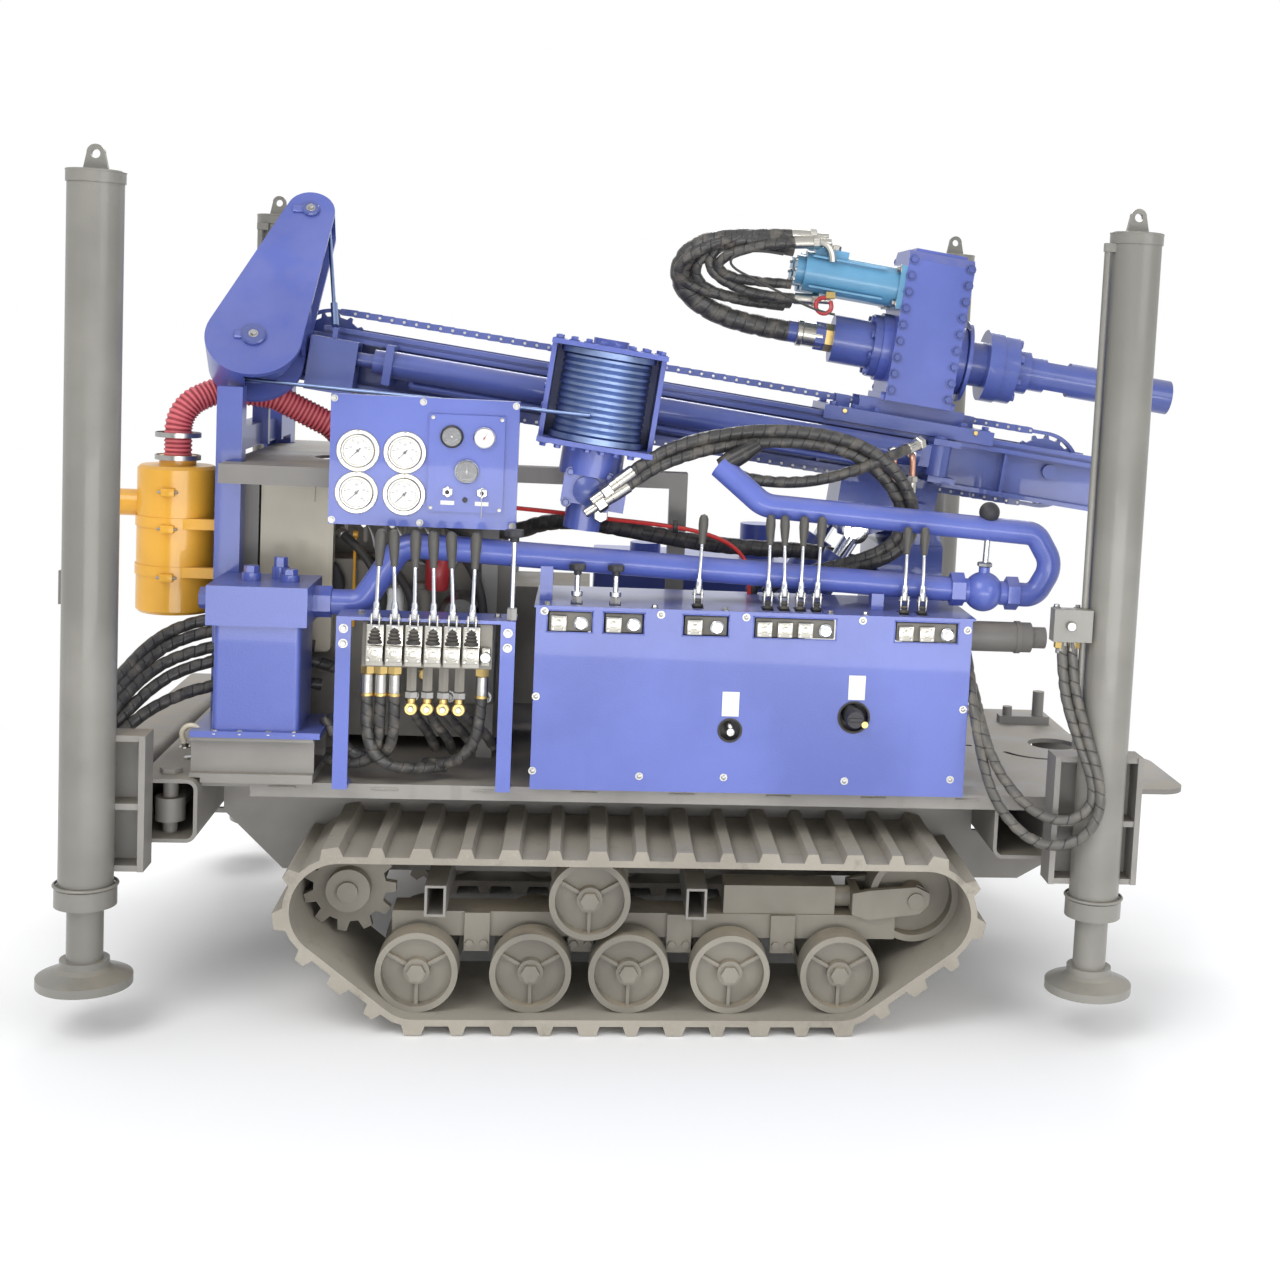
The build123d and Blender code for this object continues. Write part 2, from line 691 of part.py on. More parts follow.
def gantry():
    x0, x1 = gantry_x
    parts = []
    for side in (-1, 1):
        ya, yb = sorted((side * gantry_y[0], side * gantry_y[1]))
        post = span_box(gantry_x, (ya, yb), (deck_top, gantry_top))
        parts.append(post)
        knee = (
            (side * (gantry_y[0] + 1), gantry_beam_z[0] - 130),
            (side * (gantry_y[0] + 1), gantry_beam_z[0] + 1),
            (side * (gantry_y[0] - 130), gantry_beam_z[0] + 1),
        )
        face = make_face(Polyline(*knee, close=True))
        flat = Plane(origin=(x0 + 4, 0, 0), x_dir=(0, 1, 0), z_dir=(1, 0, 0))
        parts.append(extrude(flat * face, amount=10))
        y = side * rest_y
        parts.append(span_box(rest_x, (y - 14, y + 14), (gantry_beam_z[0], rest_top)))
    parts.append(span_box(gantry_x, (-gantry_y[0] - 1, gantry_y[0] + 1), gantry_beam_z))
    body = parts[0].fuse(*parts[1:])
    return body - span_box((x0 - 1, front_far_x + tube / 2), (-500, 500), (deck_top - 1, front_tube_top))


def far_tanks():
    oil = span_box((-60, 560), (275, 590), (deck_top, 1010))
    oil = fillet(oil.edges().filter_by(Axis.Z), 18)
    parts = [oil, rod_z(1009, 1042, 90, 430, 45), rod_z(1009, 1110, 420, 430, 52)]
    return parts[0].fuse(*parts[1:])


def fuel_tank():
    body = span_box((-760, -140), (372, 590), (deck_top, 850))
    body = fillet(body.edges().filter_by(Axis.X), 24)
    return body.fuse(rod_z(849, 884, -250, 480, 34))


def lubricator():
    x0, x1 = tank_x
    y0, y1 = tank_y
    g = tank_head_grow
    body = fillet(span_box(tank_x, tank_y, (tank_base_z + 14, tank_body_top + weld)).edges().filter_by(Axis.Z), 12)
    parts = [body]
    parts.append(span_box((x0 - g, x1 + g), (y0 - g, y1 + g), (tank_body_top, tank_head_top)))
    parts.append(span_box((x0 - 46, x1 + 52), (y0 - 16, y1 + 8), (tank_base_z, tank_base_z + 15)))
    cx = (x0 + x1) / 2
    cy = (y0 + y1) / 2
    for px, py, r, h in ((cx - 32, cy - 8, 22, 36), (cx + 28, cy + 40, 20, 52), (cx + 58, cy - 10, 22, 30)):
        parts.append(rod_z(tank_head_top - weld, tank_head_top + h * 0.55, px, py, r))
        parts.append(Pos(px, py, tank_head_top + h * 0.5) * extrude(RegularPolygon(r * 0.8, 6), amount=h * 0.5))
    hub_z = (tank_body_top + tank_head_top) / 2
    parts.append(Pos(x0 - g + weld, cy, hub_z) * Rot(0, -90, 0) * extrude(RegularPolygon(26, 6), amount=36))
    parts.append(Pos(x1 + g - weld, cy, hub_z) * Rot(0, 90, 0) * extrude(RegularPolygon(38, 6), amount=42))
    return parts[0].fuse(*parts[1:])


def tank_riser():
    xs = (tank_x[0] - 46, tank_x[1] + 37)
    ys = (tank_y[0] - 13, tank_y[1] + 4)
    z0, z1 = front_tube_top, tank_base_z
    low = span_box(xs, ys, (z0, z0 + 10))
    packer = span_box((front_far_x + tube / 2, xs[1]), ys, (deck_top, z0 + weld))
    top = span_box(xs, ys, (z1 - 8, z1))
    web = span_box(xs, (ys[0] + 19, ys[0] + 27), (z0, z1))
    back = span_box(xs, (ys[1] - 8, ys[1]), (z0, z1))
    return low.fuse(packer, top, web, back)


def air_cleaner():
    z0, z1 = cleaner_z
    body = rod_z(z0, z1, cleaner_x, cleaner_y, cleaner_r)
    body = chamfer(body.edges().filter_by(GeomType.CIRCLE), 8)
    parts = [body]
    for z in (z0 + 95, z0 + 215):
        parts.append(rod_z(z, z + 26, cleaner_x, cleaner_y, cleaner_r + 3))
    parts.append(rod_z(z1 - weld, z1 + 24, cleaner_x, cleaner_y, 44))
    parts.append(rod_x(cleaner_x - cleaner_r - 52, cleaner_x - 40, cleaner_y, z0 + 268, 33))
    for z in (z0 + 95, z0 + 215):
        parts.append(span_box((cleaner_x + 20, gantry_x[0]), (-gantry_y[0] - 8, -gantry_y[0] + 12), (z, z + 26)))
    body = parts[0].fuse(*parts[1:])
    mouth = cleaner_x - cleaner_r - 52
    return body - rod_x(mouth - 1, mouth + 46, cleaner_y, z0 + 268, 28)


def intake_hose():
    z1 = cleaner_z[1] + 24
    path = (
        (cleaner_x, cleaner_y, z1), (cleaner_x, cleaner_y, z1 + 120), (cleaner_x + 90, cleaner_y + 50, 1462),
        (-880, -190, 1450), (-740, -150, 1378), (-700, -120, 1330), (-700, -120, engine_z[1] + touch),
    )
    return pipe_run(path, [90, 90, 120, 60, 40], 34)


def gauge_panel():
    x0, x1 = panel_x
    z0, z1 = panel_z
    face = span_box(panel_x, (panel_y, panel_y + thin), panel_z)
    parts = [face]
    d = panel_depth
    parts.append(span_box((x0, x1), (panel_y, panel_y + d), (z0, z0 + thin)))
    parts.append(span_box((x0, x1), (panel_y, panel_y + d), (z1 - thin, z1)))
    parts.append(span_box((x0, x0 + thin), (panel_y, panel_y + d), (z0, z1)))
    parts.append(span_box((x1 - thin, x1), (panel_y, panel_y + d), (z0, z1)))
    parts.append(span_box((-460, -284), (panel_y - 8, panel_y + weld), (1212, 1442)))
    for x in (x0 + 60, x1 - 60):
        parts.append(span_box((x - 20, x + 20), (panel_y + thin - weld, hood_y[0]), (hood_top - 40, hood_top - 10)))
    return parts[0].fuse(*parts[1:])


gauge_table = (
    # x, z, radius, depth in front of the panel
    (-623, 1347, 50, 12), (-515, 1347, 50, 12), (-624, 1248, 50, 12), (-514, 1248, 50, 12),
    (-407, 1390, 27, 20), (-331, 1390, 27, 20), (-370, 1309, 30, 20),
)


def gauges():
    parts = []
    for x, z, r, depth in gauge_table:
        back = panel_y - (8 if depth > 15 else 0)
        parts.append(rod_y(panel_y - depth, back, x, z, r))
    return Compound(parts)


def valve_stand():
    x0, x1 = stand_x
    y = (stand_y, stand_y + 6)
    parts = [span_box((x0, x1), (stand_y, stand_y + 112), (stand_top - 8, stand_top))]
    for xa in (x0, x1 - 34):
        leg = span_box((xa, xa + 34), (stand_y, stand_y + 8), (deck_top, stand_top))
        parts.append(leg)
        parts.append(span_box((xa, xa + 34), (stand_y, stand_y + 70), (deck_top, deck_top + 8)))
    return parts[0].fuse(*parts[1:])


stand_levers = (
    # x at the valve, lean along X at the grip
    (-560, 8), (-516, -8), (-472, -2), (-428, -6), (-384, -10), (-340, 4),
)


def stand_valves():
    y0 = stand_y - 22
    y1 = stand_y + 90
    parts = [span_box((-592, -292), (stand_y + 8, y1), (stand_top - 120, stand_top - 8))]
    for x, lean in stand_levers:
        parts.append(span_box((x - 19, x + 19), (y0, stand_y + 9), (stand_top - 106, stand_top - 58)))
        parts.append(rod_z(stand_top - 59, stand_top - 20, x, y0 + 14, 16))
        parts.append(rod_z(stand_top - 175, stand_top - 105, x, stand_y + 40, 13))
        low = (x, y0 + 14, stand_top - 30)
        mid = (x + lean * 0.6, y0 + 10, stand_top + 120)
        high = (x + lean, y0 + 6, stand_top + 210)
        parts.append(pipe_run((low, mid), 0, 5))
        parts.append(pipe_run((mid, high), 0, 10))
    return parts[0].fuse(*parts[1:])


box_cuts = (
    # x start, x end of each valve opening in the front
    (-167, -62), (-35, 60), (154, 262), (324, 522), (668, 822),
)
box_levers = (
    # x, height above the shelf, grip radius, lean along X
    (-101, 112, 15, 0), (-9, 112, 15, 0), (190, 226, 10, 6), (360, 232, 10, -2), (400, 232, 10, -8),
    (440, 232, 10, 0), (480, 232, 10, 4), (697, 215, 10, 0), (742, 215, 10, -3),
)


def control_box():
    x0, x1 = box_x
    y0, y1 = box_y
    top = box_top
    front = span_box((x0, x1), (y0, y0 + thin), (deck_top, top))
    for a, b in box_cuts:
        front = front - span_box((a, b), (y0 - 1, y0 + thin + 1), (top - 64, top - 10))
    front = front - rod_y(y0 - 1, y0 + thin + 1, 277, 714, 26) - rod_y(y0 - 1, y0 + thin + 1, 577, 753, 36)
    parts = [front]
    shelf = span_box((x0 - 4, x1 + 8), (y0, y1), (top - thin, top))
    for x, h, r, lean in box_levers:
        shelf = shelf - span_box((x - 14, x + 14), (y0 + 30, y0 + 100), (top - 20, top + 20))
    parts.append(shelf)
    for x in (x0, x1 - thin):
        side = span_box((x, x + thin), (y0, y1), (deck_top, top - thin + weld))
        parts.append(side)
    parts.append(span_box((x0, x1), (y1 - thin, y1), (deck_top, deck_top + 60)))
    return parts[0].fuse(*parts[1:])


def box_valves():
    y0 = box_y[0]
    parts = []
    for a, b in box_cuts:
        body = span_box((a + 3, b - 3), (y0 - 6, y0 + 125), (box_top - 60, box_top - 14))
        foot = span_box(((a + b) / 2 - 30, (a + b) / 2 + 30), (y0 + 40, y0 + 110), (deck_top, box_top - 59))
        parts.append(body)
        parts.append(foot)
    for x, h, r, lean in box_levers:
        y = y0 + 64
        low = (x, y, box_top - 20)
        mid = (x + lean * 0.6, y, box_top + h * 0.62)
        high = (x + lean, y, box_top + h)
        parts.append(pipe_run((low, mid), 0, 5))
        parts.append(pipe_run((mid, high), 0, r))
    groups = []
    for i, (a, b) in enumerate(box_cuts):
        near = [parts[2 * i], parts[2 * i + 1]]
        for k, (x, h, r, lean) in enumerate(box_levers):
            if a - 5 <= x <= b + 5:
                near.append(parts[2 * len(box_cuts) + 2 * k])
                near.append(parts[2 * len(box_cuts) + 2 * k + 1])
        groups.append(near[0].fuse(*near[1:]))
    knobs = [(277, 714, 11, 24), (577, 753, 24, 34)]
    for x, z, r, depth in knobs:
        stem = rod_y(y0 - depth, y0 + 60, x, z, r)
        base = span_box((x - 40, x + 40), (y0 + 55, y0 + 110), (deck_top, z + 35))
        groups.append(stem.fuse(base))
    return Compound(groups)


def air_pipe():
    x1 = tank_x[1] + tank_head_grow
    hub_z = (tank_body_top + tank_head_top) / 2
    y = (tank_y[0] + tank_y[1]) / 2
    low = ((x1 + 42 - 0.2, y, hub_z), (x1 + 110, y, hub_z), (-520, y, 1122), (808, y + 4, 1060))
    lower = pipe_run(low, [42, 60], pipe_r, pipe_r - 5)
    bend = ((806, y + 4, 1060), (1036, y + 4, 1050), (1078, y + 4, 1128), (1030, y + 2, 1206),
            (345, y, 1250), (235, y + 40, 1340))
    upper = pipe_run(bend, [40, 60, 40, 70], pipe_r - weld, pipe_r - 6)
    ball = Pos(905, y + 4, 1056) * Sphere(50)
    nut = Pos(820, y + 4, 1060) * Rot(0, 90, 0) * extrude(RegularPolygon(42, 6), amount=34)
    nut2 = Pos(962, y + 4, 1054) * Rot(0, 90, 0) * extrude(RegularPolygon(42, 6), amount=30)
    stem = rod_z(1090, 1125, 905, y + 4, 14)
    lever = pipe_run(((905, y + 4, 1115), (908, y - 2, 1240)), 0, 6)
    knob = Pos(908, y - 2, 1256) * Sphere(24)
    rest = span_box((620, 650), (y - 24, y + 24), (box_top, 1045))
    rest2 = span_box((-190, -160), (y - 24, y + 24), (box_top, 1085))
    return lower.fuse(upper, ball, nut, nut2, stem, lever, knob, rest, rest2)


def return_filter():
    y = -470.0
    z = 938.0
    body = rod_x(box_x[1] + 9, 1040, y, z, 38)
    cap = rod_x(1039, 1078, y, z, 27)
    band = rod_x(1000, 1012, y, z, 41)
    arm = span_box((box_x[1], box_x[1] + 14), (y - 45, y + 45), (z - 45, z + 45))
    return body.fuse(cap, band, arm)


def mast_beam():
    u0, u1 = beam_u
    w0, w1 = beam_w
    parts = []
    for side in (-1, 1):
        inner = side * web_half
        y = (min(inner, inner + side * web_thick), max(inner, inner + side * web_thick))
        parts.append(span_box((u0, u1), y, (w0, w1)))
        fl = (min(inner, side * flange_half), max(inner, side * flange_half))
        parts.append(span_box((u0, u1), fl, (w0, w0 + flange_t)))
        parts.append(span_box((u0, u1), fl, (w1 - flange_t, w1)))
        head = sorted((side * rail_head_y[0], side * rail_head_y[1]))
        neck = sorted((side * rail_neck_y[0], side * rail_neck_y[1]))
        parts.append(span_box((u0 + 60, u1 - 20), head, rail_head_w))
        parts.append(span_box((u0 + 60, u1 - 20), neck, (w1 - weld, rail_head_w[0] + weld)))
    for u in (-1674, -1480, -1000, -520, -60, 185, 445):
        parts.append(span_box((u, u + 50), (-web_half - weld, web_half + weld), (w0, w0 + flange_t)))
    for u in (-900.0, -300.0, 205.0):
        parts.append(span_box((u, u + 8), (-flange_half + 8, -web_half), (w0 + 5, w1 - 5)))
        parts.append(span_box((u, u + 8), (web_half, flange_half - 8), (w0 + 5, w1 - 5)))
    for u in (upper_drive_u, lower_drive_u):
        parts.append(rod_y(-web_half - 22, web_half + 22, u, drive_w, 20))
    for side in (-1, 1):
        y = side * frame_plate_y
        pts = ((frame_u[0], w0 + 5), (frame_u[0], eye_w + 4), (eye_u - 30, eye_w - 22), (eye_u + 16, eye_w - 30),
               (-60, -30), (-18, -36), (16, -34), (frame_u[1], -8), (frame_u[1], w0 + 5))
        parts.append(side_plate(pts, y - 9, y + 9))
        parts.append(rod_y(y - 9, y + 9, 0, 0, 46))
        parts.append(span_box((frame_u[0], frame_u[1]), (min(side * web_half, side * 118), max(side * web_half, side * 118)), (w0 - 12, w0 + weld)))
    parts.append(rod_y(-ear_y - 24, ear_y + 24, 0, 0, pivot_pin_r))
    parts.append(rod_y(-frame_plate_y, frame_plate_y, 0, 0, 38))
    parts.append(rod_y(-tilt_tube_end, tilt_tube_end, eye_u, eye_w, tilt_tube_r))
    parts.append(span_box((frame_u[0] - 8, frame_u[0]), (-frame_plate_y - 9, frame_plate_y + 9), (eye_w, 76)))
    lug_w = (114.0, 233.0 - 4)
    for w in (lug_w[0], lug_w[1] - 16):
        ear = span_box((-12, 62), (feed_y - 34, -web_half - web_thick + weld), (w, w + 16))
        parts.append(ear)
    parts.append(rod_z(lug_w[0] - 6, lug_w[1] + 6, 12, feed_y, 17))
    end = span_box((end_box_u[0], end_box_u[1]), (feed_y - 36, -flange_half), (86, 222))
    hollow = span_box((end_box_u[0] + 10, end_box_u[1] - 10), (feed_y - 24, -flange_half - 6), (98, 210))
    parts.append(end - hollow)
    parts.append(span_box((end_box_u[0] + 50, end_box_u[0] + 62), (rope_anchor_y - 8, rope_anchor_y + 8), (221, 250)))
    parts.append(span_box((u0 - 6, u0 + 4), (-flange_half - weld, flange_half), (w0, w1)))
    parts.append(span_box((-1440, -1420), (feed_y - 44, -web_half), (128, 229)))
    body = parts[0].fuse(*parts[1:])
    body = body - span_box((u0 - 40, u0 + 60), (-chain_slot, chain_slot), (w0 - 1, w1 + 1))
    return body - rod_x(end_box_u[1] - 30, -1400, feed_y, feed_w, feed_r - touch)


def feed_cylinder():
    u0, u1 = feed_u
    barrel = rod_x(u0 - 8, u1, feed_y, feed_w, feed_r - touch)
    front = rod_x(u0 - 36, u0 - 7, feed_y, feed_w, feed_r - 3)
    rod = rod_x(end_box_u[1] - 12, u0 - 30, feed_y, feed_w, 18)
    eye = Pos(12, feed_y, 171.5) * Cylinder(32, 82)
    neck = span_box((u1 - weld, 4), (feed_y - 20, feed_y + 20), (150, 208))
    side = rod_x(u0 + 60, u1 - 60, feed_y + 8, feed_w - feed_r - 11, 9)
    for u in (u0 + 62, u1 - 62):
        side = side + rod_z(feed_w - feed_r - 12, feed_w - feed_r + 6, u, feed_y + 8, 9)
    pin_hole = rod_z(100, 240, 12, feed_y, 17 + touch)
    return barrel.fuse(front, rod, eye, neck, side) - pin_hole


def sprocket_wheel(u):
    pts = []
    teeth = 16
    root, tip = drive_r - 12, drive_r - chain_half + 6 - touch
    for i in range(teeth):
        for k, r in ((-0.22, root), (-0.10, tip), (0.10, tip), (0.22, root)):
            a = 2 * math.pi * (i + k) / teeth
            pts.append((r * math.cos(a), r * math.sin(a)))
    cog = extrude(make_face(Polyline(*pts, close=True)), amount=14)
    cog = Pos(0, 0, -7) * cog + Cylinder(36, 60) - Cylinder(20 + touch, 70)
    return Pos(u, 0, drive_w) * Rot(90, 0, 0) * cog


def feed_chain():
    circles = ((upper_drive_u, drive_w, drive_r), (lower_drive_u, drive_w, drive_r))
    ring = loop_face(circles, chain_half) - loop_face(circles, -chain_half + 6)
    flat = Plane(origin=(0, 12, 0), x_dir=(1, 0, 0), z_dir=(0, -1, 0))
    loop = extrude(flat * ring, amount=24)
    return Compound([loop, sprocket_wheel(upper_drive_u), sprocket_wheel(lower_drive_u)])


def arm_plane(offset):
    dy = arm_high[1] - arm_low[1]
    dw = arm_high[2] - arm_low[2]
    span = math.hypot(dy, dw)
    v = Vector(0, dy / span, dw / span)
    n = Vector(1, 0, 0).cross(v)
    base = Vector(*arm_low) + n * offset
    return Plane(origin=base, x_dir=(1, 0, 0), z_dir=n), span


def arm_shape(shrink):
    flat, span = arm_plane(0)
    du = arm_high[0] - arm_low[0]
    circles = ((0, 0, arm_low_r - shrink), (du, span, arm_high_r - shrink))
    return loop_face(circles, 0)


def crown_arm():
    half = arm_thick / 2
    parts = []
    base, span = arm_plane(-half)
    shell = extrude(base * arm_shape(0), amount=arm_thick)
    inside, span = arm_plane(-half + arm_plate)
    shell = shell - extrude(inside * arm_shape(arm_plate * 0.8), amount=arm_thick - 2 * arm_plate)
    flat, span = arm_plane(0)
    du = arm_high[0] - arm_low[0]
    mouth = flat * Pos(arm_low_r, -40, 0) * Box(2 * arm_low_r, 150, arm_thick - 2 * arm_plate)
    side_cut = flat * Pos(du + 20 + arm_low_r, span / 2 + 70, 0) * Box(2 * arm_low_r, span - 100, arm_thick - 2 * arm_plate)
    shell = shell - mouth - side_cut
    shell = shell - span_box((beam_u[0] - 7, beam_u[0] + 200), (-flange_half - 1, flange_half + 1), (0, beam_w[1] + touch))
    parts.append(shell)
    for u, v, r in ((0, 0, 16), (du, span, 14)):
        parts.append(flat * Pos(u, v, 0) * Cylinder(r, arm_thick + 16))
    slope = (arm_high[2] - arm_low[2]) / (arm_high[1] - arm_low[1])
    drop = half * math.sqrt(1 + slope * slope)

    def under(y):
        return arm_low[2] + (y - arm_low[1]) * slope - drop + 4

    pts = ((-flange_half, beam_w[0]), (-flange_half, under(-flange_half)), (-28, under(-28)),
           (flange_half - 60, 360), (flange_half, beam_w[1]), (flange_half, beam_w[0]))
    for u in (beam_u[0] - 6 - 14, beam_u[0] - 6 - 92):
        face = make_face(Polyline(*pts, close=True))
        plane = Plane(origin=(u, 0, 0), x_dir=(0, 1, 0), z_dir=(1, 0, 0))
        parts.append(extrude(plane * face, amount=14))
    parts.append(span_box((beam_u[0] - 98, beam_u[0] - 7), (-flange_half + 10, flange_half - 10), (beam_w[0], beam_w[0] + 14)))
    parts.append(span_box((beam_u[0] - 98, beam_u[0] - 7), (-20, 0), (beam_w[0], 330)))
    body = parts[0].fuse(*parts[1:])
    return body - span_box((beam_u[0] - 48, beam_u[0] + 4), (-chain_slot - 1, chain_slot), (beam_w[0] + 14, 330))


def sheave(center_index):
    flat, span = arm_plane(0)
    du = arm_high[0] - arm_low[0]
    u, v, r, pin = ((0, 0, sheave_low_r, 16), (du, span, sheave_high_r, 14))[center_index]
    half = sheave_t / 2
    profile = Polyline((pin + touch, -half), (r, -half), (r - groove, 0), (r, half), (pin + touch, half), close=True)
    ring = revolve(Plane.XZ * make_face(profile), Axis.Z)
    return flat * Pos(u, v, 0) * ring


def winch_frame():
    u0, u1 = winch_u
    w0, w1 = winch_w
    y0, y1 = winch_y
    t = 12.0
    back = span_box((u0, u1), (y1 - t, y1), (w0, w1))
    parts = [back]
    cu = (u0 + u1) / 2
    cy = drum_y
    for z0 in (w0, w1 - t):
        parts.append(span_box((u0, u1), (y0, y1 - t + weld), (z0, z0 + t)))
    for ua in (u0, u1 - t):
        cheek = span_box((ua, ua + t), (y0 + 90, y1 - t + weld), (w0 + t - weld, w1 - t + weld))
        parts.append(cheek)
    for w in beam_w[0] + flange_t / 2, beam_w[1] - flange_t / 2:
        parts.append(span_box((u0 + 20, u1 - 20), (y1 - weld, -flange_half), (w - 6, w + 6)))
    gear = Pos(cu, cy, w0 - 34) * Cylinder(78, 70)
    block = span_box((cu - 62, cu + 62), (cy - 62, cy + 62), (w0 - 140, w0 - 68))
    motor = Pos(cu, cy, w0 - 172) * Cylinder(46, 68)
    ports = span_box((cu + 40, cu + 96), (cy - 30, cy + 20), (w0 - 150, w0 - 92))
    parts.extend([gear, block, motor, ports])
    parts.append(Pos(cu, cy, w1 + 8) * Cylinder(44, 18))
    body = parts[0].fuse(*parts[1:])
    return body


def winch_drum():
    cu = (winch_u[0] + winch_u[1]) / 2
    cy = drum_y
    w0 = winch_w[0] + 12 + 2
    w1 = winch_w[1] - 12 - 2
    side = 14.0
    lip = coil_r + drum_lip
    pts = [(0, w0), (lip, w0), (lip, w0 + side)]
    turns = 12
    step = (w1 - w0 - 2 * side) / turns
    for i in range(turns):
        z = w0 + side + i * step
        pts.append((coil_r - 5, z + 0.01))
        pts.append((coil_r, z + step * 0.3))
        pts.append((coil_r, z + step * 0.7))
    pts.extend([(coil_r - 5, w1 - side), (lip, w1 - side), (lip, w1), (0, w1)])
    drum = revolve(Plane.XZ * make_face(Polyline(*pts, close=True)), Axis.Z)
    return Pos(cu, cy, 0) * drum


def head_sled():
    u0, u1 = sled_u
    w0, w1 = sled_w
    parts = [span_box((u0, u1), (-sled_half, sled_half), (w0, w1))]
    lip_top = rail_head_w[0] - 1.5
    for side in (-1, 1):
        skirt = sorted((side * (rail_head_y[1] + run_gap), side * sled_half))
        lip = sorted((side * (rail_neck_y[1] + run_gap), side * (rail_head_y[1] + run_gap + weld)))
        parts.append(span_box((u0, u1), skirt, (beam_w[1] + 1.5, w0 + weld)))
        parts.append(span_box((u0, u1), lip, (beam_w[1] + 1.5, lip_top)))
        web = sorted((side * 60, side * 76))
        parts.append(span_box((case_u[0] - 60, case_u[1] + 50), web, (w1 - weld, case_w[0])))
    for u in (u0 + 40, u1 - 80):
        for side in (-1, 1):
            grip = sorted((side * 16, side * 30))
            parts.append(span_box((u, u + 40), grip, (w1 - weld, drive_w + drive_r + 14)))
    return parts[0].fuse(*parts[1:])


def gearbox():
    u0, u1 = case_u
    w0, w1 = case_w
    body = span_box(case_u, (-case_half, case_half), case_w)
    body = chamfer(body.edges().filter_by(Axis.X).sort_by(Axis.Z)[-2:], 24)
    parts = [body]
    lip = 12.0
    for w in (w0, w1 - 16):
        parts.append(span_box((u0 - lip, u1 + lip), (-case_half + 10, case_half - 10), (w, w + 16)) if w == w0 else
                     span_box((u0 + 20, u1 - 20), (-case_half + 30, case_half - 30), (w1 - weld, w1 + 8)))
    parts.append(rod_x(u1 - weld, u1 + 26, 0, drill_w, 92))
    parts.append(rod_x(u0 - 26, u0 + weld, 0, drill_w, 92))
    body = parts[0].fuse(*parts[1:])
    return body - rod_x(u0 - 60, u1 + 60, 0, drill_w, spindle_r + slide_gap)


def head_motors():
    parts = []
    u0 = case_u[0]
    for side in (-1, 1):
        y = side * motor_y
        m = rod_x(u0 - motor_len, u0 - 12, y, motor_w, motor_r)
        fl = span_box((u0 - 16, u0), (y - 58, y + 58), (motor_w - 58, motor_w + 58))
        cap = rod_x(u0 - motor_len - 22, u0 - motor_len + weld, y, motor_w, 40)
        ports = span_box((u0 - motor_len + 20, u0 - motor_len + 110), (y - 34, y + 34), (motor_w + 30, motor_w + motor_r + 12))
        parts.append(m.fuse(fl, cap, ports))
    return parts[0].fuse(parts[1]) if motor_y < 58 else Compound(parts)


def swivel():
    u0 = case_u[0] - 26
    body = rod_x(u0 - 130, u0, 0, drill_w, swivel_r)
    front = rod_x(u0 - 22, u0, 0, drill_w, swivel_r + 20)
    nut = Pos(u0 - 176, 0, drill_w) * Rot(0, 90, 0) * extrude(RegularPolygon(38, 6), amount=48)
    pipe = rod_x(u0 - 250, u0 - 170, 0, drill_w, union_r)
    return body.fuse(front, nut, pipe) - rod_x(u0 - 260, u0 + 10, 0, drill_w, 18)


def spindle():
    u1 = case_u[1]
    start = case_u[0] - 24
    parts = [rod_x(start, u1 + 40, 0, drill_w, spindle_r)]
    parts.append(rod_x(u1 + 28, 62 + 10, 0, drill_w, flange_r))
    parts.append(rod_x(70, 126, 0, drill_w, 62))
    parts.append(rod_x(124, 166, 0, drill_w, coupling_r))
    parts.append(rod_x(168 - weld, 209, 0, drill_w, coupling_r - 4))
    for i in range(8):
        a = 2 * math.pi * (i + 0.5) / 8
        parts.append(Pos(209 - weld, 78 * math.cos(a), drill_w + 78 * math.sin(a)) * Rot(0, 90, 0) * extrude(RegularPolygon(12, 6), amount=12))
    parts.append(rod_x(165, 250, 0, drill_w, 60))
    sub = rod_x(245, sub_end, 0, drill_w, sub_r)
    for side in (-1, 1):
        sub = sub - span_box((300, 370), (-80, 80), (drill_w + 38, drill_w + 90) if side > 0 else (drill_w - 90, drill_w - 38))
    parts.append(sub)
    body = parts[0].fuse(*parts[1:])
    thread = rod_x(sub_end - thread_len, sub_end + 1, 0, drill_w, thread_r)
    relief = rod_x(sub_end - thread_len - relief_len, sub_end - thread_len, 0, drill_w, relief_r)
    return body - rod_x(start - 5, sub_end + 5, 0, drill_w, bore_r) - thread - relief


def arm_point(u, v):
    flat, span = arm_plane(0)
    return Vector(*arm_low) + Vector(1, 0, 0) * u + flat.y_dir * v


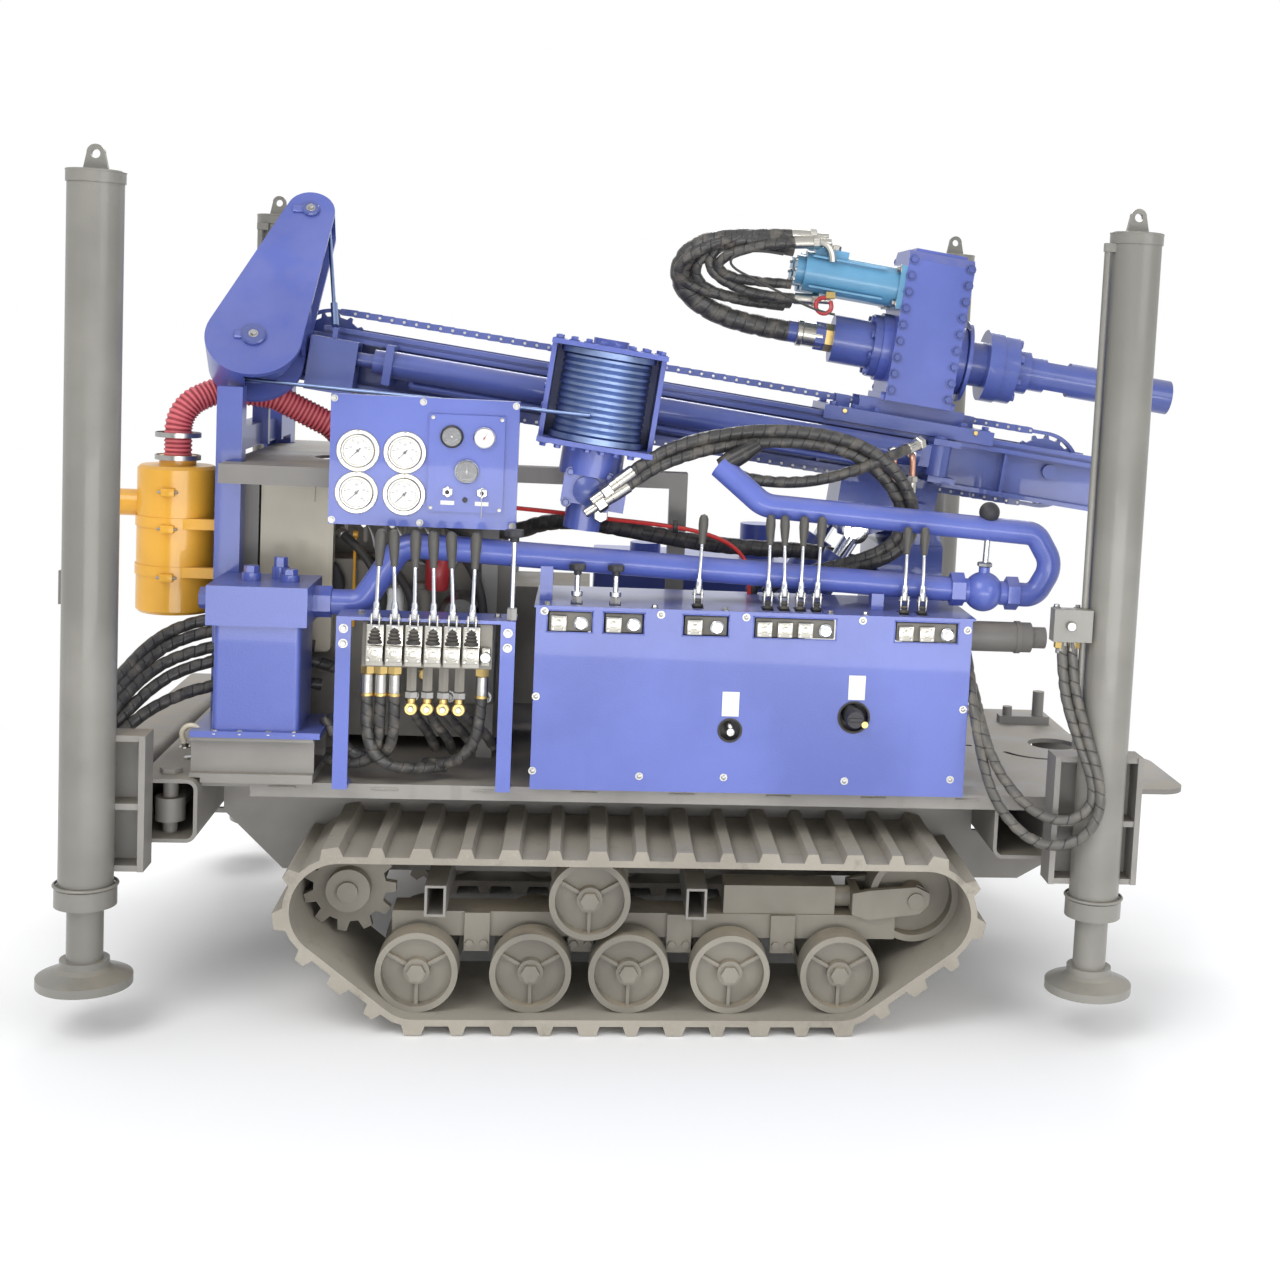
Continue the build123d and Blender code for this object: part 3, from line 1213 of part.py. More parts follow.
def winch_rope():
    flat, span = arm_plane(0)
    du = arm_high[0] - arm_low[0]
    seat_low = sheave_low_r - groove + rope_seat
    seat_high = sheave_high_r - groove + rope_seat
    cu = (winch_u[0] + winch_u[1]) / 2
    cy = drum_y
    target = arm_point(0, -seat_low)
    reach = coil_r + rope_r + touch
    dist = math.hypot(target.X - cu, target.Y - cy)
    base = math.atan2(target.Y - cy, target.X - cu)
    ang = base + math.acos(reach / dist)
    start = Vector(cu + reach * math.cos(ang), cy + reach * math.sin(ang), 150)
    run_1 = pipe_run((start, target), 0, rope_r)
    (a, b) = tangent_loop(((0, 0, seat_low), (du, span, seat_high)), 0)[1]
    left_high, left_low = arm_point(*a), arm_point(*b)
    run_2 = pipe_run((left_low, left_high), 0, rope_r)
    hold = arm_point(end_box_u[0] + 56 - arm_low[0], (rope_anchor_y - arm_low[1]) / flat.y_dir.Y)
    hx = (hold - Vector(*arm_low)).X
    hv = (hold - Vector(*arm_low)).dot(flat.y_dir)
    gap = math.hypot(hx - du, hv - span)
    lead = math.atan2(hv - span, hx - du) + math.acos(seat_high / gap)
    leave = (du + seat_high * math.cos(lead), span + seat_high * math.sin(lead))
    hook = arm_point(hx, hv)
    up = (arm_point(*leave) - hook).normalized()
    run_3 = pipe_run((arm_point(*leave), hook + up * 20), 0, rope_r)
    wraps = []
    turn_a = math.atan2(a[1] - span, a[0] - du) % (2 * math.pi)
    for cx, cv, r, a0, a1 in ((0, 0, seat_low, math.atan2(b[1], b[0]) % (2 * math.pi), 1.5 * math.pi),
                              (du, span, seat_high, lead, turn_a)):
        pts = [arm_point(cx + r * math.cos(s), cv + r * math.sin(s)) for s in (a0, (a0 + a1) / 2, a1)]
        arc = ThreePointArc(*pts)
        wraps.append(sweep(Plane(origin=arc @ 0, z_dir=arc % 0) * Circle(rope_r), path=arc))
    swage = pipe_run((hook + up * 20, hook + up * 90), 0, 9)
    return run_1.fuse(run_2, run_3, swage, *wraps)


def tilt_angle():
    a = math.radians(mast_slope)
    ex = pivot_x + eye_u * math.cos(a) + eye_w * math.sin(a)
    ez = pivot_z - eye_u * math.sin(a) + eye_w * math.cos(a)
    return ex, ez


eye_x, eye_z = tilt_angle()
tilt_reach = math.hypot(eye_x - tilt_base_x, eye_z - tilt_base_z)
tilt_lean = math.degrees(math.atan2(eye_z - tilt_base_z, eye_x - tilt_base_x))
barrel_len = tilt_reach - 78.0


def on_tilt(shape):
    return Location((tilt_base_x, 0, tilt_base_z), (0, -tilt_lean, 0)) * shape


def tilt_barrels():
    parts = []
    for side in (-1, 1):
        y = side * tilt_y
        barrel = rod_x(34, barrel_len, y, 0, tilt_barrel_r) - rod_x(60, barrel_len + 1, y, 0, tilt_rod_r + touch)
        gland = rod_x(barrel_len - 24, barrel_len, y, 0, tilt_barrel_r + 5) - rod_x(60, barrel_len + 1, y, 0, tilt_rod_r + touch)
        eye = rod_y(y - 19, y + 19, 0, 0, 32)
        neck = span_box((10, 60), (y - 19, y + 19), (-28, 28))
        port = rod_z(30, 56, 70, y, 12)
        one = barrel.fuse(gland, eye, neck, port) - rod_y(y - 30, y + 30, 0, 0, tilt_pin_r + touch)
        parts.append(one)
    return Compound(parts)


def tilt_rods():
    parts = []
    for side in (-1, 1):
        y = side * tilt_y
        rod = rod_x(90, tilt_reach - 20, y, 0, tilt_rod_r)
        eye = rod_y(y - 19, y + 19, tilt_reach, 0, 32)
        pin = rod_y(side * (tilt_tube_end + touch), side * (tilt_y + 30), tilt_reach, 0, tilt_pin_r)
        parts.append(rod.fuse(eye, pin))
    return Compound(parts)


leg_table = (
    # name, x, side, tube top, beam length, bracket ends, lock block and pipe
    ("front_near", front_near_x, -1, front_tube_top, 740.0, front_bracket_x, front_lock_at),
    ("front_far", front_far_x, 1, front_tube_top, 740.0, front_bracket_x, front_lock_at),
    ("rear_near", rear_near_x, -1, rear_tube_top, tube_end + rear_near_inner - 30.0, rear_bracket_x, rear_lock_at),
    ("rear_far", rear_far_x, 1, rear_tube_top, 740.0, rear_bracket_x, rear_lock_at),
)


def outrigger(x, side, top, length, bracket_x):
    inner = tube - 2 * tube_wall - 2 * slide_gap
    mid = top - tube / 2
    face_y = tube_end + 3
    bar = span_box((x - inner / 2, x + inner / 2), (face_y - length, face_y), (mid - inner / 2, mid + inner / 2))
    bar = fillet(bar.edges().filter_by(Axis.Y), tube_corner - tube_wall)
    bore = span_box((x - inner / 2 + 9, x + inner / 2 - 9), (face_y - length - 1, face_y - 10), (mid - inner / 2 + 9, mid + inner / 2 - 9))
    parts = [bar - bore]
    z0, z1 = bracket_z
    x0, x1 = x + bracket_x[0], x + bracket_x[1]
    parts.append(span_box((x0, x1), (face_y - weld, face_y + bracket_t), (z0, z1)))
    for xa in (x0, x1 - bracket_t):
        parts.append(span_box((xa, xa + bracket_t), (face_y, leg_y), (z0, z1)))
    for z in (z0, (z0 + z1) / 2 - bracket_t, z1 - bracket_t):
        parts.append(span_box((x0, x1), (face_y, leg_y - 4), (z, z + bracket_t)))
    body = parts[0].fuse(*parts[1:])
    body = body - rod_z(z0 - 5, z1 + 5, x, leg_y, leg_r)
    return body if side > 0 else mirrored(body)


def leg_tube(x, side, lock_at):
    z0, z1 = leg_bottom, leg_top
    cap = 22.0
    parts = [rod_z(z0 + 20, z1 - cap, x, leg_y, leg_r)]
    parts.append(rod_z(z0, z0 + collar_h, x, leg_y, collar_r))
    parts.append(rod_z(z1 - cap - weld, z1, x, leg_y, leg_r + 3))
    body = parts[0].fuse(*parts[1:])
    body = body - rod_z(z0 - 1, z0 + collar_h + 1, x, leg_y, rod_r + touch)
    body = body - rod_z(z0 + collar_h, z1 - cap - 20, x, leg_y, leg_bore)
    ear = side_plate(((x - 28, z1 - weld), (x - 18, z1 + 46), (x + 18, z1 + 46), (x + 28, z1 - weld)), leg_y - 7, leg_y + 7)
    ear = ear + rod_y(leg_y - 7, leg_y + 7, x, z1 + 42, 19)
    ear = ear - rod_y(leg_y - 9, leg_y + 9, x, z1 + 40, 10)
    (bx, by), (lx, ly) = lock_at
    block = span_box((x + bx, x + bx + lock_size[0]), (leg_y + by, leg_y + by + lock_size[1]), lock_z)
    line = rod_z(lock_z[1] - weld, z1 - 28, x + lx, leg_y + ly, 8)
    elbow_y = sorted((leg_y + ly + math.copysign(10, ly), leg_y + ly - math.copysign(10, ly)))
    elbow_x = (x + lx - 8, x + lx + 24)
    top_elbow = span_box(elbow_x, elbow_y, (z1 - 44, z1 - 24))
    low_z = bracket_z[1] + 24
    low_line = rod_z(low_z + 10, lock_z[0] + weld, x + lx, leg_y + ly, 8)
    low_elbow = span_box(elbow_x, elbow_y, (low_z, low_z + 20))
    body = body.fuse(ear, block, line, top_elbow, low_line, low_elbow)
    return body if side > 0 else mirrored(body)


def jack_foot(x, side):
    rod = rod_z(foot_z + 60, rod_top, x, leg_y, rod_r)
    neck = rod_z(foot_z + 104, foot_z + 150, x, leg_y, rod_r - 8)
    ball = Pos(x, leg_y, foot_z + 62) * Sphere(ball_r)
    pts = ((0, 0), (foot_r, 0), (foot_r, foot_t), (foot_r - 40, foot_t + 16), (54, foot_t + 24), (54, 60), (0, 60))
    plate_solid = revolve(Plane.XZ * make_face(Polyline(*pts, close=True)), Axis.Z)
    pad = Pos(x, leg_y, foot_z) * plate_solid
    body = rod.fuse(ball, pad)
    return body if side > 0 else mirrored(body)


# The origin is midway between the outer ends, on the ground
middle_x = (tongue_end + front_near_x - foot_r) / 2


def save(shape, name):
    solids = [solid.moved(Location((-middle_x, 0, 0))) for solid in shape.solids()]
    placed = solids[0] if len(solids) == 1 else Compound(solids)
    placed.label = name
    export_step(placed, f"parts/{name}.step")


belt = track_belt()
save(mirrored(belt) if belt.bounding_box().center().Y > 0 else belt, "track_near")
save(mirrored(belt) if belt.bounding_box().center().Y < 0 else belt, "track_far")
carriage = undercarriage()
save(carriage, "undercarriage_far")
save(mirrored(carriage), "undercarriage_near")
tubes = leg_tubes()
crossing = cross_tubes()
drill_tongue = seated([*tubes, tongue()])[len(tubes):]
save(main_frame([*[envelope(solid) for solid in tubes + crossing], *drill_tongue]), "main_frame")
save(Compound(tubes), "leg_tubes")
save(Compound(crossing), "cross_tubes")
save(Compound(drill_tongue), "tongue")
save(deck(), "deck")
save(pivot_post(), "pivot_post")
save(engine(), "engine")
save(engine_cover(), "engine_cover")
save(engine_hood(), "engine_hood")
save(radiator(), "radiator")
save(gantry(), "gantry")
save(far_tanks(), "oil_tank")
save(fuel_tank(), "fuel_tank")
save(lubricator(), "lubricator")
save(tank_riser(), "tank_riser")
save(air_cleaner(), "air_cleaner")
save(intake_hose(), "intake_hose")
save(gauge_panel(), "gauge_panel")
save(gauges(), "gauges")
save(valve_stand(), "valve_stand")
save(stand_valves(), "stand_valves")
save(control_box(), "control_box")
save(box_valves(), "box_valves")
save(air_pipe(), "air_pipe")
save(return_filter(), "return_filter")
save(on_mast(mast_beam()), "mast")
save(on_mast(feed_cylinder()), "feed_cylinder")
save(on_mast(feed_chain()), "feed_chain")
save(on_mast(crown_arm()), "crown_arm")
save(on_mast(sheave(0)), "sheave_low")
save(on_mast(sheave(1)), "sheave_high")
save(on_mast(winch_frame()), "winch")
save(on_mast(winch_drum()), "winch_drum")
save(on_mast(winch_rope()), "winch_rope")
save(on_mast(head_sled()), "head_sled")
save(on_mast(gearbox()), "head_gearbox")
save(on_mast(head_motors()), "head_motors")
save(on_mast(swivel()), "swivel")
save(on_mast(spindle()), "spindle")
save(on_tilt(tilt_barrels()), "tilt_barrels")
save(on_tilt(tilt_rods()), "tilt_rods")
for name, x, side, top, length, bracket_x, lock_at in leg_table:
    save(outrigger(x, side, top, length, bracket_x), f"beam_{name}")
    save(leg_tube(x, side, lock_at), f"leg_{name}")
    save(jack_foot(x, side), f"jack_{name}")
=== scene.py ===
import bmesh
import bpy
import math
import random
from mathutils import Matrix, Vector


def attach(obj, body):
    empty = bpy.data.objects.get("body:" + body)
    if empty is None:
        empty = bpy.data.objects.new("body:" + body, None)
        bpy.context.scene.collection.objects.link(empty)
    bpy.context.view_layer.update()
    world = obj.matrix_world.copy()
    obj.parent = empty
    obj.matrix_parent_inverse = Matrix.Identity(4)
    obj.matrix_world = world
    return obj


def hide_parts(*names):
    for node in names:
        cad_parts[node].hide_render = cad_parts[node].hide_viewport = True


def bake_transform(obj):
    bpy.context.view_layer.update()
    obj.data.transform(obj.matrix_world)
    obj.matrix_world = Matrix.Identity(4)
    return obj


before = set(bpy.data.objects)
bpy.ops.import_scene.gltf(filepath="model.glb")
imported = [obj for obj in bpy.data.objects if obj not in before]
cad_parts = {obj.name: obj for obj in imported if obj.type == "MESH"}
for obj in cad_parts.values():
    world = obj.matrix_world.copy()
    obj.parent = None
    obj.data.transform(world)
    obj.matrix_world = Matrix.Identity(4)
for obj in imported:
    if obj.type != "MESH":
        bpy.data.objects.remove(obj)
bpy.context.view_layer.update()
random.seed(7)

# Places
# Metres, in the rig's own frame: X along it, Y across it with the controls at minus, Z up.
MM = 0.001
MIDDLE = 147.5
PIVOT = Vector((0.6525, 0, 1.19))
SLOPE = math.radians(7)
DRILL_AXIS = 444
RIB_PITCH = 0.011


def at(x, y, z):
    """A point in millimetres, measured along the rig from the deck's own datum."""
    return Vector((x - MIDDLE, y, z)) * MM


def on_mast(u, y, w):
    """A point on the mast, in millimetres along it, across it and square to it, from the pivot."""
    along = u * math.cos(SLOPE) + w * math.sin(SLOPE)
    up = w * math.cos(SLOPE) - u * math.sin(SLOPE)
    return PIVOT + Vector((along, y, up)) * MM


MAST_ALONG = Vector((math.cos(SLOPE), 0, -math.sin(SLOPE)))
MAST_UP = Vector((math.sin(SLOPE), 0, math.cos(SLOPE)))
NEAR = Vector((0, -1, 0))
FAR = Vector((0, 1, 0))
UP = Vector((0, 0, 1))
RIGHT = Vector((1, 0, 0))


# Shader values
def linear(red, green, blue):
    """A colour given as it looks on screen, 0 to 255, turned to the renderer's own scale."""
    scaled = [c / 255 for c in (red, green, blue)]
    return tuple(c / 12.92 if c <= 0.04045 else ((c + 0.055) / 1.055) ** 2.4 for c in scaled) + (1.0,)


class Value:
    """A socket that sums and products can be written on."""

    def __init__(self, finish, socket):
        self.finish = finish
        self.socket = socket

    def join(self, operation, other, swap=False):
        first, second = (other, self) if swap else (self, other)
        return self.finish.node("ShaderNodeMath", {0: first, 1: second}, operation=operation)

    def __add__(self, other):
        return self.join("ADD", other)

    def __rsub__(self, other):
        return self.join("SUBTRACT", other, swap=True)

    def __mul__(self, other):
        return self.join("MULTIPLY", other)

    def __truediv__(self, other):
        return self.join("DIVIDE", other)

    def above(self, low, high):
        """0 below low, 1 above high, with a soft step between."""
        inputs = {"Value": self, "From Min": low, "From Max": high}
        return self.finish.node("ShaderNodeMapRange", inputs, interpolation_type="SMOOTHSTEP")


class Finish:
    """One procedural material on a principled surface."""

    def __init__(self, name, colour, roughness=0.5, metallic=0.0, coat=0.0):
        self.material = bpy.data.materials.new(name)
        self.material.use_nodes = True
        self.tree = self.material.node_tree
        self.surface = self.tree.nodes["Principled BSDF"]
        self.set("Base Color", colour)
        self.set("Roughness", roughness)
        self.set("Metallic", metallic)
        self.set("Coat Weight", coat)
        self.place = self.node("ShaderNodeTexCoord", output="Object")

    def node(self, kind, inputs=None, output=0, **settings):
        made = self.tree.nodes.new(kind)
        for key, value in settings.items():
            setattr(made, key, value)
        for key, value in (inputs or {}).items():
            self.feed(made.inputs[key], value)
        return Value(self, made.outputs[output])

    def feed(self, socket, value):
        if isinstance(value, Value):
            self.tree.links.new(value.socket, socket)
        else:
            socket.default_value = value

    def set(self, name, value):
        self.feed(self.surface.inputs[name], value)

    def noise(self, scale, detail=3.0, stretch=None, roughness=0.5):
        place = self.place
        if stretch:
            place = self.node("ShaderNodeMapping", {"Vector": place, "Scale": stretch})
        inputs = {"Vector": place, "Scale": scale, "Detail": detail, "Roughness": roughness}
        return self.node("ShaderNodeTexNoise", inputs, output="Fac")

    def mix(self, mask, first, second):
        """A colour that is first where mask is 0 and second where it is 1."""
        inputs = {0: mask, 6: first, 7: second}
        return self.node("ShaderNodeMix", inputs, output=2, data_type="RGBA")

    def facing_up(self):
        normal = self.node("ShaderNodeNewGeometry", output="Normal")
        return self.node("ShaderNodeSeparateXYZ", {0: normal}, output="Z")

    def split(self, vector):
        """The three parts of a vector."""
        made = self.tree.nodes.new("ShaderNodeSeparateXYZ")
        self.feed(made.inputs[0], vector)
        return [Value(self, socket) for socket in made.outputs]

    def relief(self, height, depth, strength=0.6):
        bump = self.node("ShaderNodeBump", {"Height": height, "Distance": depth, "Strength": strength},
                         output="Normal")
        self.set("Normal", bump)

    def wave(self, value, period):
        """A smooth wave of value, one for each period."""
        return self.node("ShaderNodeMath", {0: value * (2 * math.pi / period)}, operation="SINE")


# Finishes
DUST = linear(168, 156, 136)


def paint(name, colour, roughness=0.32, dust=0.35, shade=0.12, coat=0.25):
    """Sprayed machine paint: uneven gloss, slight runs, dust where it lies flat."""
    made = Finish(name, colour, roughness, coat=coat)
    deep = tuple(c * (1 - 2.2 * shade) for c in colour[:3]) + (1.0,)
    pale = tuple(min(1.0, c * (1 + shade) + 0.012) for c in colour[:3]) + (1.0,)
    broad = made.noise(2.6, 4.0)
    streak = made.noise(1.0, 4.0, stretch=(26.0, 26.0, 2.2))
    base = made.mix(broad.above(0.35, 0.68), deep, pale)
    base = made.mix(streak.above(0.56, 0.78) * 0.35, base, deep)
    specks = made.noise(85.0, 5.0, roughness=0.65)
    lying = made.facing_up().above(0.35, 0.95)
    soiled = lying * made.noise(9.0, 5.0, roughness=0.6).above(0.3, 0.62) * dust
    soiled = soiled + specks.above(0.66, 0.74) * (0.22 * dust)
    base = made.mix(soiled, base, DUST)
    made.set("Base Color", base)
    made.set("Roughness", soiled * 0.45 + (broad * 0.16 + (roughness - 0.08)))
    made.relief(made.noise(260.0, 2.0) + streak * 0.6, 0.0008, 0.35)
    return made.material


def metal(name, colour, roughness=0.3, grain=(4.0, 90.0, 90.0), spots=0.25):
    """Bare or plated metal with fine marks and a few dull spots."""
    made = Finish(name, colour, roughness, metallic=1.0)
    marks = made.noise(6.0, 4.0, stretch=grain)
    dull = made.noise(42.0, 5.0).above(0.55, 0.72) * spots
    dark = tuple(c * 0.45 for c in colour[:3]) + (1.0,)
    made.set("Base Color", made.mix(dull + marks.above(0.55, 0.9) * 0.25, colour, dark))
    made.set("Roughness", marks * 0.18 + dull * 0.3 + (roughness - 0.06))
    made.relief(marks, 0.0004, 0.4)
    return made.material


def moulded(name, colour, roughness=0.5, dust=0.25):
    """Moulded plastic or plain rubber with a fine grain and a little dust."""
    made = Finish(name, colour, roughness)
    lying = made.facing_up().above(0.2, 0.95) * made.noise(24.0, 4.0).above(0.35, 0.65) * dust
    made.set("Base Color", made.mix(lying, colour, DUST))
    made.set("Roughness", made.noise(60.0, 3.0) * 0.2 + (roughness - 0.08))
    made.relief(made.noise(420.0, 2.0), 0.0004, 0.5)
    return made.material


def belt_rubber():
    """Track rubber under a thin grey-brown film of dried mud, with fine pale flecks; the faces that look up
    are painted paler, which is painted light from above.
    """
    colour = linear(152, 146, 135)
    made = Finish("belt_rubber", colour, 0.8)
    clods = made.noise(17.0, 7.0, roughness=0.62)
    broad = made.noise(3.2, 4.0, roughness=0.55)
    fine = made.noise(140.0, 4.0)
    lying = made.facing_up().above(0.2, 0.95)
    base = made.mix(broad.above(0.36, 0.66) * 0.6, colour, linear(126, 120, 111))
    base = made.mix(clods.above(0.55, 0.72) * 0.45, base, linear(98, 93, 86))
    # painted light: faces that look up are painted paler as if lit from above; the fine pale flecks mixed in
    # with them are real marks
    base = made.mix(lying * 0.35 + fine.above(0.6, 0.76) * 0.25, base, linear(176, 170, 156))
    made.set("Base Color", base)
    made.set("Roughness", 0.92 - fine * 0.16)
    made.relief(clods * 0.8 + fine * 0.25, 0.0025, 0.7)
    return made.material


def wrapped_rubber(name, colour, pitch=0.034):
    """Hose rubber in a spiral guard: the guard's turns follow the hose's own length and turn round it."""
    made = Finish(name, colour, 0.42)
    along = made.node("ShaderNodeUVMap", output="UV", uv_map="run")
    turn, run, _ = made.split(along)
    phase = made.node("ShaderNodeMath", {0: run / pitch + turn}, operation="FRACT")
    seam = 1.0 - phase.above(0.0, 0.07) * (1.0 - phase.above(0.90, 1.0))
    dull = made.noise(30.0, 4.0).above(0.45, 0.7)
    base = made.mix(seam * 0.75, colour, linear(20, 20, 21))
    base = made.mix(dull * 0.30, base, linear(138, 130, 118))
    made.set("Base Color", base)
    made.set("Roughness", dull * 0.25 + 0.34)
    made.relief(1.0 - seam, 0.0012, 0.9)
    return made.material


def ribbed_rubber(name, colour, pitch):
    """A corrugated intake hose: rings along its length, with painted shade in the valleys between them and a
    painted highlight on their crowns.
    """
    made = Finish(name, colour, 0.5)
    along = made.node("ShaderNodeUVMap", output="UV", uv_map="run")
    turn, run, _ = made.split(along)
    ring = made.wave(run, pitch) * 0.5 + 0.5
    # painted shade and highlight: the valleys of the rings are darkened and their crowns painted paler, in
    # step with the ribs
    deep = tuple(c * 0.55 for c in colour[:3]) + (1.0,)
    made.set("Base Color", made.mix(ring.above(0.1, 0.8), deep, linear(214, 104, 112)))
    made.set("Roughness", made.noise(20.0) * 0.2 + 0.38)
    return made.material


def clear_glass():
    made = Finish("gauge_glass", (1.0, 1.0, 1.0, 1.0), 0.03)
    made.surface.inputs["Alpha"].default_value = 0.12
    made.surface.inputs["IOR"].default_value = 1.45
    return made.material


BLUE = paint("blue_paint", linear(80, 95, 172), 0.32, dust=0.22, shade=0.06, coat=0.3)
BLUE_DEEP = paint("blue_paint_mast", linear(72, 87, 156), 0.30, dust=0.18, shade=0.10, coat=0.35)
GREY = paint("grey_paint", linear(134, 131, 126), 0.48, dust=0.45, shade=0.10, coat=0.0)
LEG_GREY = paint("leg_paint", linear(124, 122, 115), 0.36, dust=0.25, shade=0.08, coat=0.15)
LOW_GREY = paint("roller_paint", linear(128, 123, 112), 0.55, dust=0.75, shade=0.12, coat=0.0)
YELLOW = paint("yellow_paint", linear(226, 166, 44), 0.34, dust=0.2, shade=0.08, coat=0.3)
SKY = paint("motor_paint", linear(88, 146, 182), 0.34, dust=0.15, shade=0.12, coat=0.3)
CREAM = paint("cover_paint", linear(198, 190, 170), 0.42, dust=0.3, shade=0.06, coat=0.1)
RED_PAINT = paint("red_paint", linear(178, 44, 48), 0.35, dust=0.15, shade=0.1, coat=0.2)
STEEL = metal("steel", linear(182, 181, 178), 0.30)
ZINC = metal("zinc", linear(196, 193, 184), 0.26, spots=0.15)
BRASS = metal("brass", linear(214, 186, 122), 0.30)
COPPER = metal("copper", linear(206, 158, 136), 0.34)
CHROME = metal("chrome_rod", linear(226, 228, 232), 0.10, spots=0.05)
CAST = paint("cast_block", linear(122, 118, 110), 0.6, dust=0.5, shade=0.2, coat=0.0)
DARK = moulded("black_paint", linear(46, 46, 50), 0.5)
GRIP = moulded("lever_grip", linear(74, 72, 68), 0.42)
RUBBER = belt_rubber()
WRAP = wrapped_rubber("hose_wrap", linear(84, 82, 78))
WRAP_DARK = wrapped_rubber("hose_wrap_dark", linear(58, 57, 56), 0.028)
PLAIN_HOSE = moulded("hose_rubber", linear(52, 51, 50), 0.5)
RED_HOSE = ribbed_rubber("intake_rubber", linear(196, 62, 74), RIB_PITCH)
RED_CABLE = moulded("cable_red", linear(204, 48, 44), 0.4)
WHITE = moulded("plate_white", linear(218, 218, 214), 0.4, dust=0.1)
ROPE_STEEL = metal("rope_steel", linear(132, 150, 188), 0.36, grain=(60.0, 60.0, 60.0))
GLASS = clear_glass()

cad_nodes = (
    (RUBBER, "track_near track_far"),
    (LOW_GREY, "undercarriage_near undercarriage_far"),
    (GREY, "main_frame leg_tubes cross_tubes tongue deck engine_hood tank_riser return_filter"),
    (BLUE, "gantry oil_tank fuel_tank lubricator gauge_panel valve_stand control_box air_pipe"),
    (BLUE, "crown_arm winch head_gearbox"),
    (BLUE_DEEP, "pivot_post mast feed_cylinder feed_chain sheave_low sheave_high head_sled swivel spindle"),
    (BLUE_DEEP, "tilt_barrels"),
    (ROPE_STEEL, "winch_rope winch_drum"),
    (ZINC, "stand_valves box_valves"),
    (CAST, "engine"), (CREAM, "engine_cover"), (DARK, "radiator"), (YELLOW, "air_cleaner"),
    (RED_HOSE, "intake_hose"), (STEEL, "gauges"), (SKY, "head_motors"), (CHROME, "tilt_rods"),
)
cad_finish = {name: finish for finish, names in cad_nodes for name in names.split()}
for node_name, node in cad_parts.items():
    leg_part = GREY if node_name.startswith("beam") else LEG_GREY
    for index in range(len(node.material_slots)):
        node.material_slots[index].material = cad_finish.get(node_name, leg_part)


